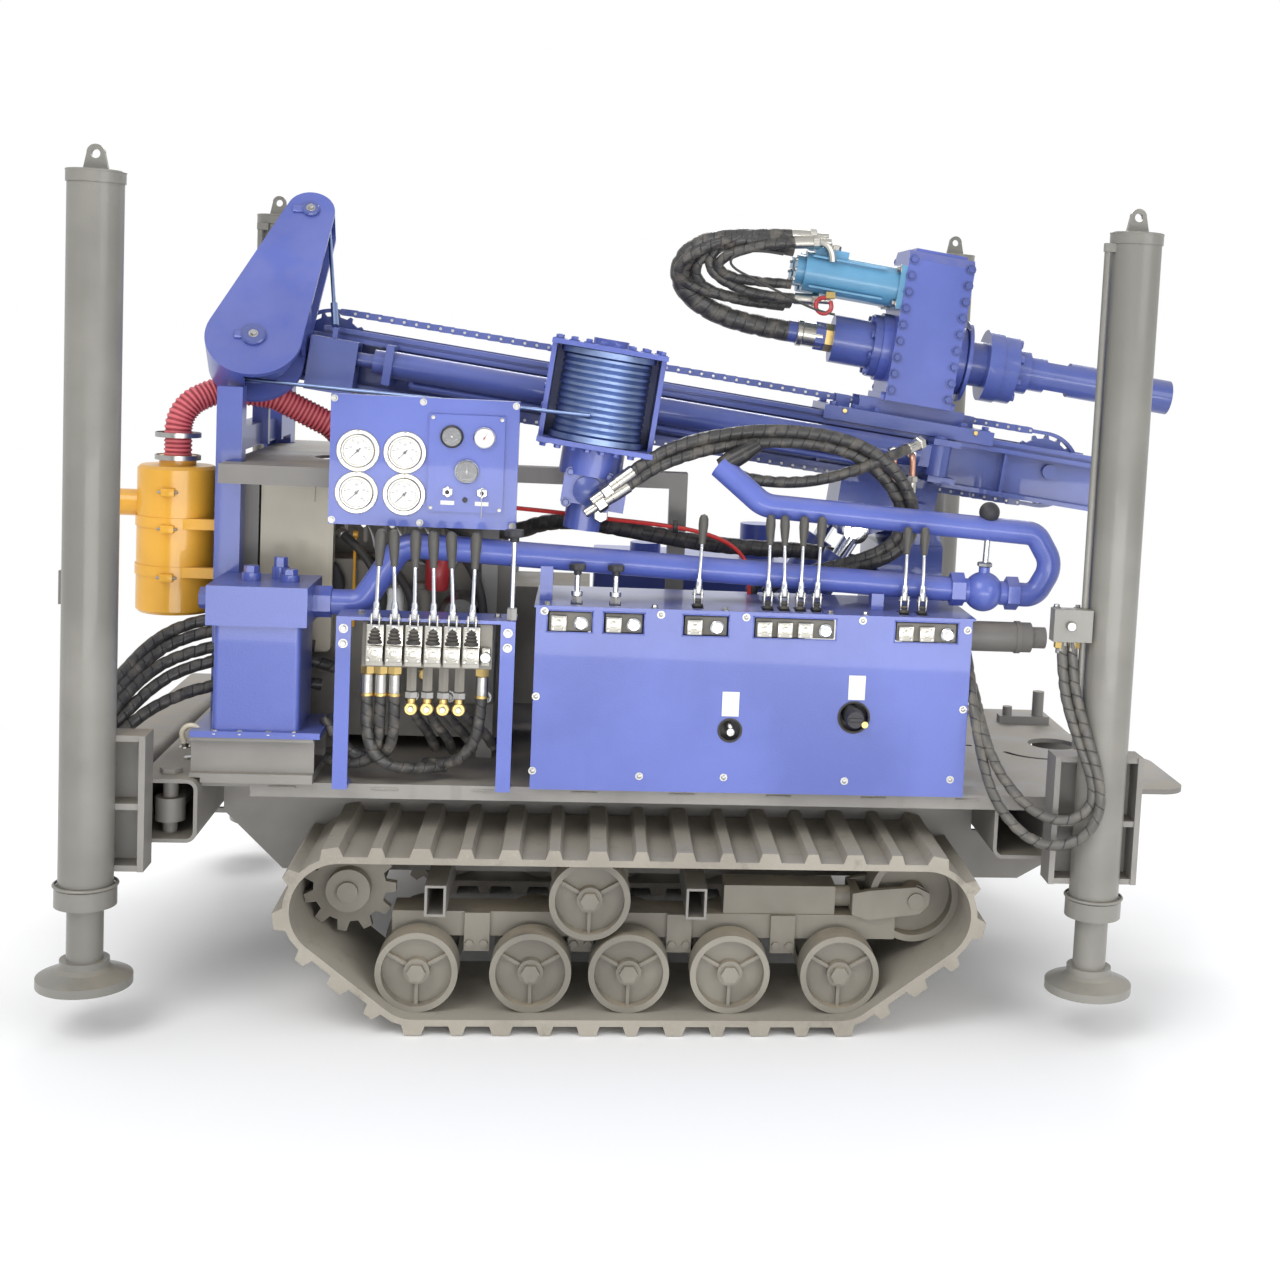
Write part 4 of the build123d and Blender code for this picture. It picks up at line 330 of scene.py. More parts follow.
# Mesh tools
class Kit:
    """One piece, gathered from shapes that each carry one of its finishes."""

    def __init__(self, name, body, finishes):
        self.name = name
        self.body = body
        self.finishes = finishes
        self.mesh = bmesh.new()

    def add(self, shape, finish=0, smooth=True):
        for face in shape.faces:
            face.material_index = finish
            face.smooth = smooth
        carrier = bpy.data.meshes.new("carrier")
        shape.to_mesh(carrier)
        shape.free()
        self.mesh.from_mesh(carrier)
        bpy.data.meshes.remove(carrier)

    def done(self, *stands_for, crease=35.0, across=None):
        """Make the piece; when across is given it is left in place and fixed to no body, and the stretch
        itself is not used.
        """
        data = bpy.data.meshes.new(self.name)
        bmesh.ops.recalc_face_normals(self.mesh, faces=self.mesh.faces)
        self.mesh.to_mesh(data)
        self.mesh.free()
        data.set_sharp_from_angle(angle=math.radians(crease))
        for finish in self.finishes:
            data.materials.append(finish)
        made = bpy.data.objects.new(self.name, data)
        bpy.context.scene.collection.objects.link(made)
        if across:
            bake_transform(made)
        else:
            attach(made, self.body)
        if stands_for:
            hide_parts(*stands_for)

    def turned(self, outline, at, axis, steps=24, finish=0):
        """A round shape: outline is (distance along the axis, radius) pairs, spun about the axis."""
        shape = bmesh.new()
        places = [shape.verts.new((radius, 0, along)) for along, radius in outline]
        edges = [shape.edges.new(pair) for pair in zip(places, places[1:])]
        bmesh.ops.spin(shape, geom=places + edges, cent=(0, 0, 0), axis=(0, 0, 1), dvec=(0, 0, 0),
                       angle=2 * math.pi, steps=steps, use_merge=True, use_duplicate=False)
        bmesh.ops.remove_doubles(shape, verts=shape.verts, dist=1e-6)
        bmesh.ops.recalc_face_normals(shape, faces=shape.faces)
        bmesh.ops.transform(shape, matrix=aimed(at, axis), verts=shape.verts)
        self.add(shape, finish)

    def rod(self, at, axis, length, radius, finish=0, steps=20, rim=0.12):
        """A closed rod with softened ends."""
        soft = min(radius, length) * rim
        outline = [(0, 0), (0, radius - soft), (soft, radius),
                   (length - soft, radius), (length, radius - soft), (length, 0)]
        self.turned(outline, at, axis, steps, finish)

    def prism(self, at, axis, length, across, finish=0, roll=0.0):
        """A six-sided bar, such as a nut, with its corners eased; across is its width over two flats."""
        shape = bmesh.new()
        radius = across / 2 / math.cos(math.pi / 6)
        bmesh.ops.create_cone(shape, cap_ends=True, cap_tris=False, segments=6, radius1=radius,
                              radius2=radius, depth=length)
        ends = [edge for edge in shape.edges if abs(edge.verts[0].co.z - edge.verts[1].co.z) < 1e-9]
        bmesh.ops.bevel(shape, geom=ends, offset=across * 0.08, affect="EDGES", segments=1, profile=0.5,
                        material=-1)
        spot = Matrix.Translation((0, 0, length / 2)) @ Matrix.Rotation(roll, 4, "Z")
        bmesh.ops.transform(shape, matrix=aimed(at, axis) @ spot, verts=shape.verts)
        self.add(shape, finish, smooth=False)

    def bolt(self, at, axis, across=0.016, finish=0, washer=True):
        """A hex head on its washer, seated at a point."""
        seat = 0.0
        if washer:
            seat = across * 0.16
            self.rod(at - axis * 0.0005, axis, seat, across * 0.85, finish, 12)
        self.prism(at + axis * (seat - 0.0008), axis, across * 0.55, across, finish, random.random())

    def block(self, low, high, finish=0, soft=0.002, turn=None):
        """A box between two corners with eased edges; turn places it on another line."""
        shape = bmesh.new()
        bmesh.ops.create_cube(shape, size=1.0)
        low, high = Vector(low), Vector(high)
        size = high - low
        bmesh.ops.scale(shape, vec=size, verts=shape.verts)
        bmesh.ops.translate(shape, vec=(low + high) / 2, verts=shape.verts)
        if soft:
            bmesh.ops.bevel(shape, geom=shape.edges[:], offset=min(soft, min(size) * 0.4), affect="EDGES",
                            segments=2, profile=0.5, material=-1)
        if turn:
            bmesh.ops.transform(shape, matrix=turn, verts=shape.verts)
        self.add(shape, finish)

    def sweep(self, path, radius, finish=0, sides=12, swell=None):
        """A round tube along a path; swell gives the radius at a length along it and a turn round it."""
        shape = bmesh.new()
        layer = shape.loops.layers.uv.new("run")
        lengths = [0.0]
        for before, after in zip(path, path[1:]):
            lengths.append(lengths[-1] + (after - before).length)
        side = (path[1] - path[0]).orthogonal().normalized()
        rings = []
        for index, place in enumerate(path):
            ahead = path[min(index + 1, len(path) - 1)] - path[max(index - 1, 0)]
            ahead.normalize()
            side = (side - ahead * side.dot(ahead)).normalized()
            other = ahead.cross(side)
            ring = []
            for step in range(sides):
                turn = step / sides
                size = swell(lengths[index], turn) if swell else radius
                spoke = side * math.cos(2 * math.pi * turn) + other * math.sin(2 * math.pi * turn)
                ring.append(shape.verts.new(place + spoke * size))
            rings.append(ring)
        for index in range(len(rings) - 1):
            for step in range(sides):
                after = (step + 1) % sides
                here, there = rings[index], rings[index + 1]
                face = shape.faces.new((here[step], here[after], there[after], there[step]))
                spots = ((step, index), (step + 1, index), (step + 1, index + 1), (step, index + 1))
                for loop, (turn, run) in zip(face.loops, spots):
                    loop[layer].uv = (turn / sides, lengths[run])
        shape.faces.new(list(reversed(rings[0])))
        shape.faces.new(rings[-1])
        self.add(shape, finish)


def aimed(at, axis):
    """The placing of a shape that was made along Z, standing at a point along an axis."""
    turn = Vector(axis).normalized().to_track_quat("Z", "Y").to_matrix().to_4x4()
    return Matrix.Translation(Vector(at)) @ turn


def smooth_path(route, step=0.008):
    """Points along one smooth curve that the route's points steer."""
    curve = bpy.data.curves.new("route", "CURVE")
    curve.dimensions = "3D"
    curve.resolution_u = 24
    spline = curve.splines.new("NURBS")
    spline.points.add(len(route) - 1)
    for point, place in zip(spline.points, route):
        point.co = (*place, 1.0)
    spline.order_u = 3
    spline.use_endpoint_u = True
    carrier = bpy.data.objects.new("route", curve)
    line = bpy.data.meshes.new_from_object(carrier)
    dense = [vertex.co.copy() for vertex in line.vertices]
    bpy.data.objects.remove(carrier)
    bpy.data.curves.remove(curve)
    bpy.data.meshes.remove(line)
    even = [dense[0]]
    for place in dense[1:]:
        if (place - even[-1]).length >= step:
            even.append(place)
    if (even[-1] - dense[-1]).length < step * 0.5:
        even.pop()
    even.append(dense[-1])
    return even


def route_path(route, step=0.008):
    """A smooth curve along a route that is given in millimetres."""
    return smooth_path([at(*point) for point in route], step)


def bent_path(corners, radii, step=0.0025):
    """Points along straight runs that are joined by arcs."""
    dense = [corners[0]]
    for before, corner, after, radius in zip(corners, corners[1:], corners[2:], radii):
        back, onward = (before - corner).normalized(), (after - corner).normalized()
        half = back.angle(onward) / 2
        centre = corner + (back + onward).normalized() * (radius / math.sin(half))
        first = corner + back * (radius / math.tan(half)) - centre
        last = corner + onward * (radius / math.tan(half)) - centre
        axis = first.cross(last).normalized()
        for index in range(25):
            dense.append(centre + Matrix.Rotation((math.pi - 2 * half) * index / 24, 3, axis) @ first)
    dense.append(corners[-1])
    even = [dense[0]]
    for place in dense[1:]:
        gap = (place - even[-1]).length
        parts = int(gap / step)
        start = even[-1].copy()
        for index in range(1, parts + 1):
            even.append(start.lerp(place, index * step / gap))
    return even


def spiral_guard(radius, pitch=0.034, height=0.0016):
    """The radius of a hose in a spiral guard, with a groove between one turn and the next."""
    def swell(run, turn):
        phase = (run / pitch + turn) % 1.0
        groove = math.exp(-((min(phase, 1.0 - phase)) / 0.09) ** 2)
        return radius + height * (1.0 - 1.6 * groove)
    return swell


def hose(name, bodies, route, radius, finish=WRAP, free_end=0):
    """A hose between two bodies, in a spiral guard, with a crimped collar at the end that shows."""
    kit = Kit(name, bodies, [finish, ZINC])
    path = route_path(route)
    kit.sweep(path, radius, 0, 14, spiral_guard(radius))
    tip, following = (path[0], path[1]) if free_end == 0 else (path[-1], path[-2])
    inward = (following - tip).normalized()
    kit.rod(tip - inward * 0.012, inward, 0.044, radius * 1.12, 1, 16)
    kit.prism(tip - inward * 0.030, inward, 0.020, radius * 2.5, 1)
    return kit


# Hoses of the legs, the winch, the head and the valve bank
LEG_HOSE_R = 0.0115
WINCH_HOSE_R = 0.0145
AIR_LINE_R = 0.013
FLUSH_HOSE_R = 0.027
MOTOR_HOSE_R = 0.0125
SIDE_HOSE_R = 0.0135
BAY_HOSE_R = 0.020
CABLE_R = 0.005
LEG_OUTER = (
    (1074, -745, 985), (1078, -746, 915), (1093, -752, 836), (1120, -775, 745), (1150, -793, 653),
    (1158, -795, 570), (1118, -782, 500), (1043, -762, 478), (974, -738, 507), (918, -704, 576),
    (890, -670, 666), (870, -630, 783), (868, -560, 880), (866, -500, 920),
)
LEG_INNER = (
    (1049, -745, 985), (1053, -746, 915), (1068, -751, 826), (1108, -766, 722), (1140, -782, 640),
    (1136, -782, 580), (1086, -770, 541), (1018, -745, 552), (959, -710, 599), (914, -680, 669),
    (890, -650, 740), (884, -560, 817), (880, -500, 850),
)
WINCH_UPPER = (
    (-27, -470, 1278), (10, -465, 1307), (60, -455, 1345), (120, -448, 1382), (220, -440, 1414),
    (358, -432, 1434), (500, -424, 1428), (610, -415, 1398), (690, -404, 1338), (735, -396, 1262),
    (742, -392, 1200), (722, -388, 1150), (659, -384, 1106), (560, -378, 1082), (440, -350, 1066),
    (360, -310, 1046), (340, -300, 1006),
)
WINCH_LOWER = (
    (-40, -466, 1245), (0, -460, 1273), (50, -452, 1312), (110, -446, 1346), (220, -436, 1384),
    (358, -426, 1406), (500, -414, 1402), (590, -404, 1374), (665, -394, 1318), (708, -386, 1250),
    (712, -384, 1196), (688, -380, 1150), (620, -376, 1112), (520, -366, 1082), (430, -330, 1060),
    (380, -300, 1006),
)
AIR_HOSE = (
    (240, -468, 1354), (262, -470, 1324), (330, -456, 1306), (438, -442, 1304), (539, -430, 1326),
    (620, -415, 1356), (690, -385, 1386), (740, -340, 1404),
)


def leg_hoses():
    """Two hoses from the right leg's lock block, in a low loop, to the back of the lever box."""
    for name, route in (("leg_hose_outer", LEG_OUTER), ("leg_hose_inner", LEG_INNER)):
        kit = hose(name, ("outrigger_rear_near", "chassis"), route, LEG_HOSE_R)
        top = at(*route[0])
        kit.prism(top + UP * 0.030, UP, 0.022, 0.026, 1)
        kit.rod(top + UP * 0.046, UP, 0.024, 0.009, 1)
        kit.done(across=(at(1110, -770, 560), at(900, -680, 640)))


def winch_hoses():
    """Two hoses that arch from the winch motor over the lever box."""
    for name, route in (("winch_hose_upper", WINCH_UPPER), ("winch_hose_lower", WINCH_LOWER)):
        kit = hose(name, ("mast", "chassis"), route, WINCH_HOSE_R, WRAP_DARK)
        start, along = at(*route[0]), (at(*route[1]) - at(*route[0])).normalized()
        kit.rod(start + along * 0.014, along, 0.052, 0.0175, 1)
        kit.prism(start - along * 0.026, along, 0.024, 0.036, 1)
        kit.rod(start - along * 0.062, along, 0.040, 0.012, 1)
        kit.done(across=(at(300, -430, 1430), at(450, -390, 1120)))
    kit = hose("air_line", ("chassis", "mast"), AIR_HOSE, AIR_LINE_R, WRAP_DARK, free_end=1)
    kit.turned([(0, 0), (0, 0.020), (0.03, 0.024), (0.07, 0.022), (0.11, 0.015), (0.11, 0)],
               at(236, -466, 1338), (0.25, -0.02, 0.16), finish=0)
    kit.done(across=(at(520, -430, 1326), at(700, -380, 1390)))


HEAD_THICK = (
    (505, 0, 1672), (428, 0, 1682), (350, -2, 1692), (263, -10, 1710), (190, -22, 1742), (142, -40, 1788),
    (134, -60, 1842), (176, -78, 1892), (262, -92, 1914), (350, -98, 1916), (432, -98, 1906),
)
HEAD_THIN = (
    ((452, -100, 1934), (364, -105, 1936), (272, -110, 1918), (195, -110, 1890), (134, -100, 1848),
     (124, -80, 1812), (162, -62, 1786), (244, -40, 1766), (330, -20, 1752), (420, 10, 1748)),
    ((436, -74, 1930), (338, -80, 1922), (246, -86, 1898), (186, -84, 1862), (170, -70, 1820),
     (206, -50, 1780), (290, -30, 1762), (380, 0, 1756), (440, 30, 1756)),
    ((458, -122, 1914), (370, -126, 1908), (290, -124, 1886), (240, -112, 1862), (228, -98, 1838),
     (262, -84, 1816), (340, -74, 1806), (430, -66, 1806)),
    ((470, -60, 1768), (377, -62, 1768), (281, -70, 1788), (216, -85, 1824), (206, -92, 1866),
     (250, -84, 1904), (330, -66, 1924), (420, -44, 1930), (452, -40, 1926)),
)
SAFETY_CABLE = (
    (400, -130, 1880), (330, -134, 1890), (262, -132, 1868), (262, -128, 1840), (330, -126, 1810),
    (420, -126, 1770), (500, -126, 1736), (545, -124, 1730),
)


def head_hoses():
    """The rotary head's hoses: a thick flushing hose and four for its motors, looped back on themselves."""
    kit = Kit("head_hoses", "head", [WRAP_DARK, ZINC, PLAIN_HOSE, BRASS, CAST, RED_PAINT])
    thick = route_path(HEAD_THICK)
    kit.sweep(thick, FLUSH_HOSE_R, 0, 18, spiral_guard(FLUSH_HOSE_R, 0.05, 0.0022))
    for route in HEAD_THIN:
        path = route_path(route)
        kit.sweep(path, MOTOR_HOSE_R, 0, 12, spiral_guard(MOTOR_HOSE_R))
        along = (path[0] - path[3]).normalized()
        kit.rod(path[0] - along * 0.03, along, 0.05, 0.0155, 1)
        kit.prism(path[0] + along * 0.018, along, 0.02, 0.032, 1)
        kit.rod(path[0] + along * 0.034, along, 0.035, 0.010, 1)
    kit.sweep(route_path(SAFETY_CABLE), 0.0035, 2, 8)
    start = on_mast(-330, 0, DRILL_AXIS)
    kit.rod(start - MAST_ALONG * 0.055, MAST_ALONG, 0.06, 0.0335, 1, 24)
    kit.prism(start + MAST_ALONG * 0.004, MAST_ALONG, 0.032, 0.066, 3)
    kit.rod(start - MAST_ALONG * 0.068, MAST_ALONG, 0.016, 0.0365, 1, 24)
    for index, y in enumerate((-100, -74, -122)):
        top = at(452, y, 1930 - index * 6)
        kit.sweep(smooth_path([top, top + Vector((0.05, 0, 0.004)), top + Vector((0.078, 0, -0.02)),
                               top + Vector((0.08, 0, -0.05))], 0.004), 0.0095, 1, 10)
    kit.done()
    loop = Kit("motor_drain", "head", [RED_PAINT, BRASS])
    centre = at(515, -118, 1752)
    ring = [centre + Vector((math.cos(a), 0.25 * math.sin(a), math.sin(a))) * 0.022
            for a in [math.pi * k / 5 for k in range(2, 12)]]
    loop.sweep(smooth_path(ring, 0.004), 0.006, 0, 8)
    loop.prism(at(532, -116, 1770), (0, 0, 1), 0.02, 0.024, 1)
    loop.done()


STAND_HOSES = (
    ((-580, -615, 790), (-581, -616, 725), (-574, -620, 668), (-552, -620, 625), (-510, -606, 602),
     (-450, -575, 594), (-400, -540, 592)),
    ((-549, -615, 790), (-549, -612, 715), (-554, -600, 655), (-578, -588, 612), (-625, -570, 600),
     (-680, -540, 606)),
    ((-517, -615, 790), (-515, -612, 712), (-524, -598, 650), (-552, -584, 620), (-600, -572, 618),
     (-650, -548, 648), (-690, -520, 700)),
    ((-315, -615, 790), (-317, -612, 722), (-330, -600, 664), (-360, -584, 622), (-400, -560, 602),
     (-450, -530, 596)),
    ((-478, -600, 745), (-470, -580, 720), (-452, -550, 690), (-440, -510, 660), (-430, -470, 620)),
    ((-441, -600, 745), (-432, -580, 715), (-410, -550, 680), (-395, -510, 650), (-390, -470, 615)),
    ((-404, -600, 745), (-392, -580, 718), (-370, -550, 690), (-350, -510, 655), (-340, -470, 620)),
    ((-367, -600, 745), (-352, -580, 722), (-330, -550, 695), (-305, -510, 665), (-290, -470, 625)),
)
SIDE_HOSES = (
    ((-1196, -560, 640), (-1150, -500, 700), (-1100, -440, 752), (-1047, -415, 785), (-960, -400, 812),
     (-870, -385, 826), (-768, -375, 820), (-690, -350, 790)),
    ((-1200, -560, 668), (-1160, -490, 735), (-1105, -420, 792), (-1040, -390, 822), (-950, -375, 846),
     (-850, -360, 850), (-740, -350, 842)),
    ((-1204, -540, 700), (-1164, -470, 762), (-1110, -400, 826), (-1040, -370, 860), (-960, -350, 880),
     (-870, -340, 884), (-770, -330, 870)),
    ((-1186, -570, 622), (-1140, -520, 672), (-1085, -470, 712), (-1010, -430, 742), (-920, -410, 760),
     (-820, -395, 764), (-720, -370, 750)),
    ((-1207, -520, 728), (-1168, -450, 790), (-1116, -390, 852), (-1050, -356, 888), (-980, -346, 904),
     (-880, -336, 910)),
)


def low_hoses():
    """The hoses under the valve bank, and the bundle from the left leg to the engine bay."""
    kit = Kit("stand_hoses", "chassis", [WRAP_DARK, ZINC])
    for index, route in enumerate(STAND_HOSES):
        radius = 0.0125 if index < 4 else 0.0105
        kit.sweep(route_path(route), radius, 0, 12, spiral_guard(radius, 0.028))
    kit.done()
    for index, route in enumerate(SIDE_HOSES):
        name = "side_hose_%d" % (index + 1)
        kit = hose(name, ("outrigger_front_near", "chassis"), route, SIDE_HOSE_R, WRAP_DARK)
        kit.done(across=(at(-1190, -560, 650), at(-1000, -400, 800)))


BAY_HOSE = (
    (-309.7, -95, 1118), (-258, -95, 1118), (-205, -125, 1146), (-115, -195, 1164), (20, -240, 1150),
    (208, -246, 1122), (360, -236, 1112), (480, -190, 1106), (570, -135, 1092), (630, -105, 1066),
    (689.7, -105, 1066),
)
RED_CABLE_ROUTE = (
    (-304, -335, 1249.7), (-304, -335, 1222), (-284, -322, 1204), (-230, -292, 1198), (-140, -276, 1190),
    (-40, -276, 1180), (80, -276, 1172), (190, -280, 1160), (275, -288, 1135), (322, -300, 1095),
    (336, -300, 1045), (336, -300, 1003.3),
)
BAY_EXTRA = (
    ((-700, -262, 1120), (-650, -300, 1090), (-600, -330, 1030), (-575, -330, 960), (-590, -310, 900)),
    ((-640, -262, 1060), (-590, -300, 1060), (-540, -322, 1020), (-500, -330, 940), (-520, -320, 860)),
    ((-430, -262, 1100), (-390, -310, 1080), (-350, -340, 1020), (-330, -340, 940), (-330, -320, 860)),
    ((-560, -262, 1150), (-500, -290, 1168), (-420, -300, 1150), (-360, -300, 1110), (-300, -290, 1090)),
)


def bay_hoses():
    """Hoses and cables in the engine bay and behind the winch."""
    kit = Kit("bay_hose_set", "chassis", [WRAP_DARK, RED_CABLE, PLAIN_HOSE, STEEL])
    kit.sweep(route_path(BAY_HOSE), BAY_HOSE_R, 0, 16, spiral_guard(BAY_HOSE_R, 0.04))
    for shift in (0, 13):
        path = route_path([(x, y - shift, z) for x, y, z in RED_CABLE_ROUTE])
        kit.sweep(path, CABLE_R, 1, 10)
    for x in (-60, 140):
        clip = at(x, -284, 1182 if x < 0 else 1167)
        kit.rod(clip - RIGHT * 0.006, RIGHT, 0.012, 0.017, 2, 14)
    kit.done()
    kit = Kit("engine_hoses", "chassis", [PLAIN_HOSE, STEEL])
    for route in BAY_EXTRA:
        path = route_path(route)
        kit.sweep(path, 0.011, 0, 12)
        for tip, inward in ((path[0], path[1] - path[0]), (path[-1], path[-2] - path[-1])):
            kit.rod(tip, inward.normalized(), 0.018, 0.0135, 1, 14)
    kit.done()


# Valve banks
def lever(kit, foot, tip, shaft, grip, shaft_finish, grip_finish, grip_share):
    """A valve lever: a flat fork at its foot, a straight shaft and a waisted grip."""
    along = (tip - foot).normalized()
    length = (tip - foot).length
    kit.turned([(0, 0), (0, 0.008), (0.012, 0.009), (0.034, 0.0075), (0.038, shaft),
                (length * 0.7, shaft * 0.9), (length * 0.7, 0)], foot, along, 14, shaft_finish)
    start = foot + along * length * (1 - grip_share)
    run = length * grip_share
    waist = ((0, 0), (0, 0.62), (0.06, 0.74), (0.10, 0.66), (0.30, 0.86), (0.62, 1.05), (0.84, 0.98),
             (0.95, 0.68), (1, 0))
    kit.turned([(run * share, grip * swell) for share, swell in waist], start, along, 18, grip_finish)


def fork(kit, foot, finish):
    """The clevis between a spool and its lever, with its pin."""
    for side in (-1, 1):
        low = Vector((side * 0.009 - 0.002, -0.008, -0.002))
        high = Vector((side * 0.009 + 0.002, 0.008, 0.030))
        kit.block(foot + low, foot + high, finish, 0.001)
    kit.rod(foot + Vector((-0.014, 0, 0.018)), RIGHT, 0.028, 0.0035, finish, 10)
    kit.block(foot + Vector((-0.010, -0.007, -0.006)), foot + Vector((0.010, 0.007, 0.002)), finish, 0.001)


def valve_cap(kit, centre, half, depth, finish, bolt_finish):
    """A square end cap on a valve, with a bolt at each corner and a turned boss in the middle."""
    near = centre + NEAR * depth
    kit.block((centre.x - half, near.y, centre.z - half), (centre.x + half, centre.y, centre.z + half),
              finish, 0.0025)
    kit.turned([(0, 0), (0, half * 0.5), (0.004, half * 0.46), (0.005, half * 0.2), (0.005, 0)],
               near, NEAR, 16, finish)
    for dx in (-1, 1):
        for dz in (-1, 1):
            spot = near + Vector((dx * half * 0.68, 0, dz * half * 0.68))
            kit.rod(spot, NEAR, 0.0035, half * 0.17, bolt_finish, 8)


STAND_FRONT = -668
STAND_FITTINGS = -615
STAND_LEVERS = ((-560, 8), (-516, -8), (-472, -2), (-428, -6), (-384, -10), (-340, 4))
STAND_BOOT = (
    (0, 0), (0, 0.017), (0.006, 0.018), (0.010, 0.0135), (0.014, 0.0165), (0.018, 0.012), (0.022, 0.0145),
    (0.026, 0.0105), (0.030, 0.0125), (0.034, 0.008), (0.040, 0.007), (0.040, 0),
)


def valve_stand_bank():
    """The six-lever valve: blocks with bolted caps, boots, levers, and its fittings below."""
    kit = Kit("stand_valve_bank", "chassis", [ZINC, CHROME, GRIP, PLAIN_HOSE, BRASS, CAST, STEEL])
    kit.block(at(-592, -647, 850), at(-292, -565, 958), 5, 0.004)
    for x, lean in STAND_LEVERS:
        kit.block(at(x - 20, STAND_FRONT, 856), at(x + 20, -640, 954), 0, 0.003)
        valve_cap(kit, at(x, STAND_FRONT, 886), 0.0195, 0.010, 0, 6)
        kit.turned(STAND_BOOT, at(x, -663, 909), UP, 18, 3)
        foot = at(x, -663, 950)
        fork(kit, foot, 6)
        lever(kit, foot + UP * 0.020, at(x + lean, -671, 1178), 0.0048, 0.0125, 1, 2, 0.42)
    kit.block(at(-316, STAND_FRONT, 862), at(-296, -640, 905), 0, 0.003)
    kit.rod(at(-306, -667, 884), NEAR, 0.014, 0.013, 6, 16)
    for x in (-580, -549, -517, -315):
        kit.prism(at(x, STAND_FITTINGS, 828), UP, 0.024, 0.030, 4)
        kit.rod(at(x, STAND_FITTINGS, 782), UP, 0.047, 0.0145, 6, 18)
        kit.rod(at(x, STAND_FITTINGS, 776), UP, 0.008, 0.0155, 4, 18)
    for x in (-478, -441, -404, -367):
        kit.prism(at(x, STAND_FITTINGS, 790), UP, 0.062, 0.022, 5)
        kit.prism(at(x, STAND_FITTINGS, 772), UP, 0.018, 0.027, 6)
        kit.rod(at(x, -627, 748), FAR, 0.024, 0.0155, 4, 20)
        kit.rod(at(x, -634, 748), FAR, 0.038, 0.0075, 6, 14)
        kit.rod(at(x, STAND_FITTINGS, 756), UP, 0.018, 0.011, 4, 14)
    kit.done("stand_valves")
    stand = Kit("stand_bolts", "chassis", [STEEL, DARK, CHROME])
    for x in (-633, -257):
        stand.bolt(at(x, -629, 568), UP, 0.017)
        stand.bolt(at(x, -655, 940), NEAR, 0.013)
        stand.bolt(at(x, -655, 905), NEAR, 0.013)
    for x in (-600, -284):
        stand.bolt(at(x, -600, 968), UP, 0.013)
    stand.rod(at(-250, -640, 968), UP, 0.205, 0.006, 2)
    stand.prism(at(-250, -640, 968), UP, 0.03, 0.022, 0)
    star_knob(stand, at(-250, -640, 1166), UP, 0.024, 1)
    stand.done()


def star_knob(kit, seat, axis, radius, finish):
    """A hand knob with five soft lobes."""
    shape = bmesh.new()
    bmesh.ops.create_cone(shape, cap_ends=True, cap_tris=False, segments=40, radius1=radius, radius2=radius,
                          depth=radius * 0.7)
    for vertex in shape.verts:
        turn = math.atan2(vertex.co.y, vertex.co.x)
        share = 1.0 - 0.16 * (0.5 - 0.5 * math.cos(5 * turn))
        vertex.co.x *= share
        vertex.co.y *= share
    rims = [edge for edge in shape.edges if abs(edge.verts[0].co.z - edge.verts[1].co.z) < 1e-9]
    bmesh.ops.bevel(shape, geom=rims, offset=radius * 0.12, affect="EDGES", segments=2, profile=0.5,
                    material=-1)
    raised = Matrix.Translation((0, 0, radius * 0.35))
    bmesh.ops.transform(shape, matrix=aimed(seat, axis) @ raised, verts=shape.verts)
    kit.add(shape, finish)
    kit.rod(seat - axis * radius * 0.5, axis, radius * 0.6, radius * 0.45, finish, 16)


BOX_CUTS = ((-167, -62), (-35, 60), (154, 262), (324, 522), (668, 822))
BOX_LEVERS = (
    (-101, 112, 15, 0), (-9, 112, 15, 0), (190, 226, 10, 6), (360, 232, 10, -2), (400, 232, 10, -8),
    (440, 232, 10, 0), (480, 232, 10, 4), (697, 215, 10, 0), (742, 215, 10, -3),
)
BOX_FRONT = -620
BOX_LEVER_ROW = -556
BOX_BOOT = (
    (0, 0), (0, 0.014), (0.008, 0.016), (0.014, 0.012), (0.020, 0.014), (0.026, 0.010), (0.032, 0.011),
    (0.036, 0.007), (0.036, 0),
)
BOX_SCREWS = (
    (-175, 990), (100, 990), (304, 990), (587, 991), (846, 975), (-188, 785), (-190, 605), (64, 597),
    (267, 598), (562, 595), (824, 604), (846, 779),
)


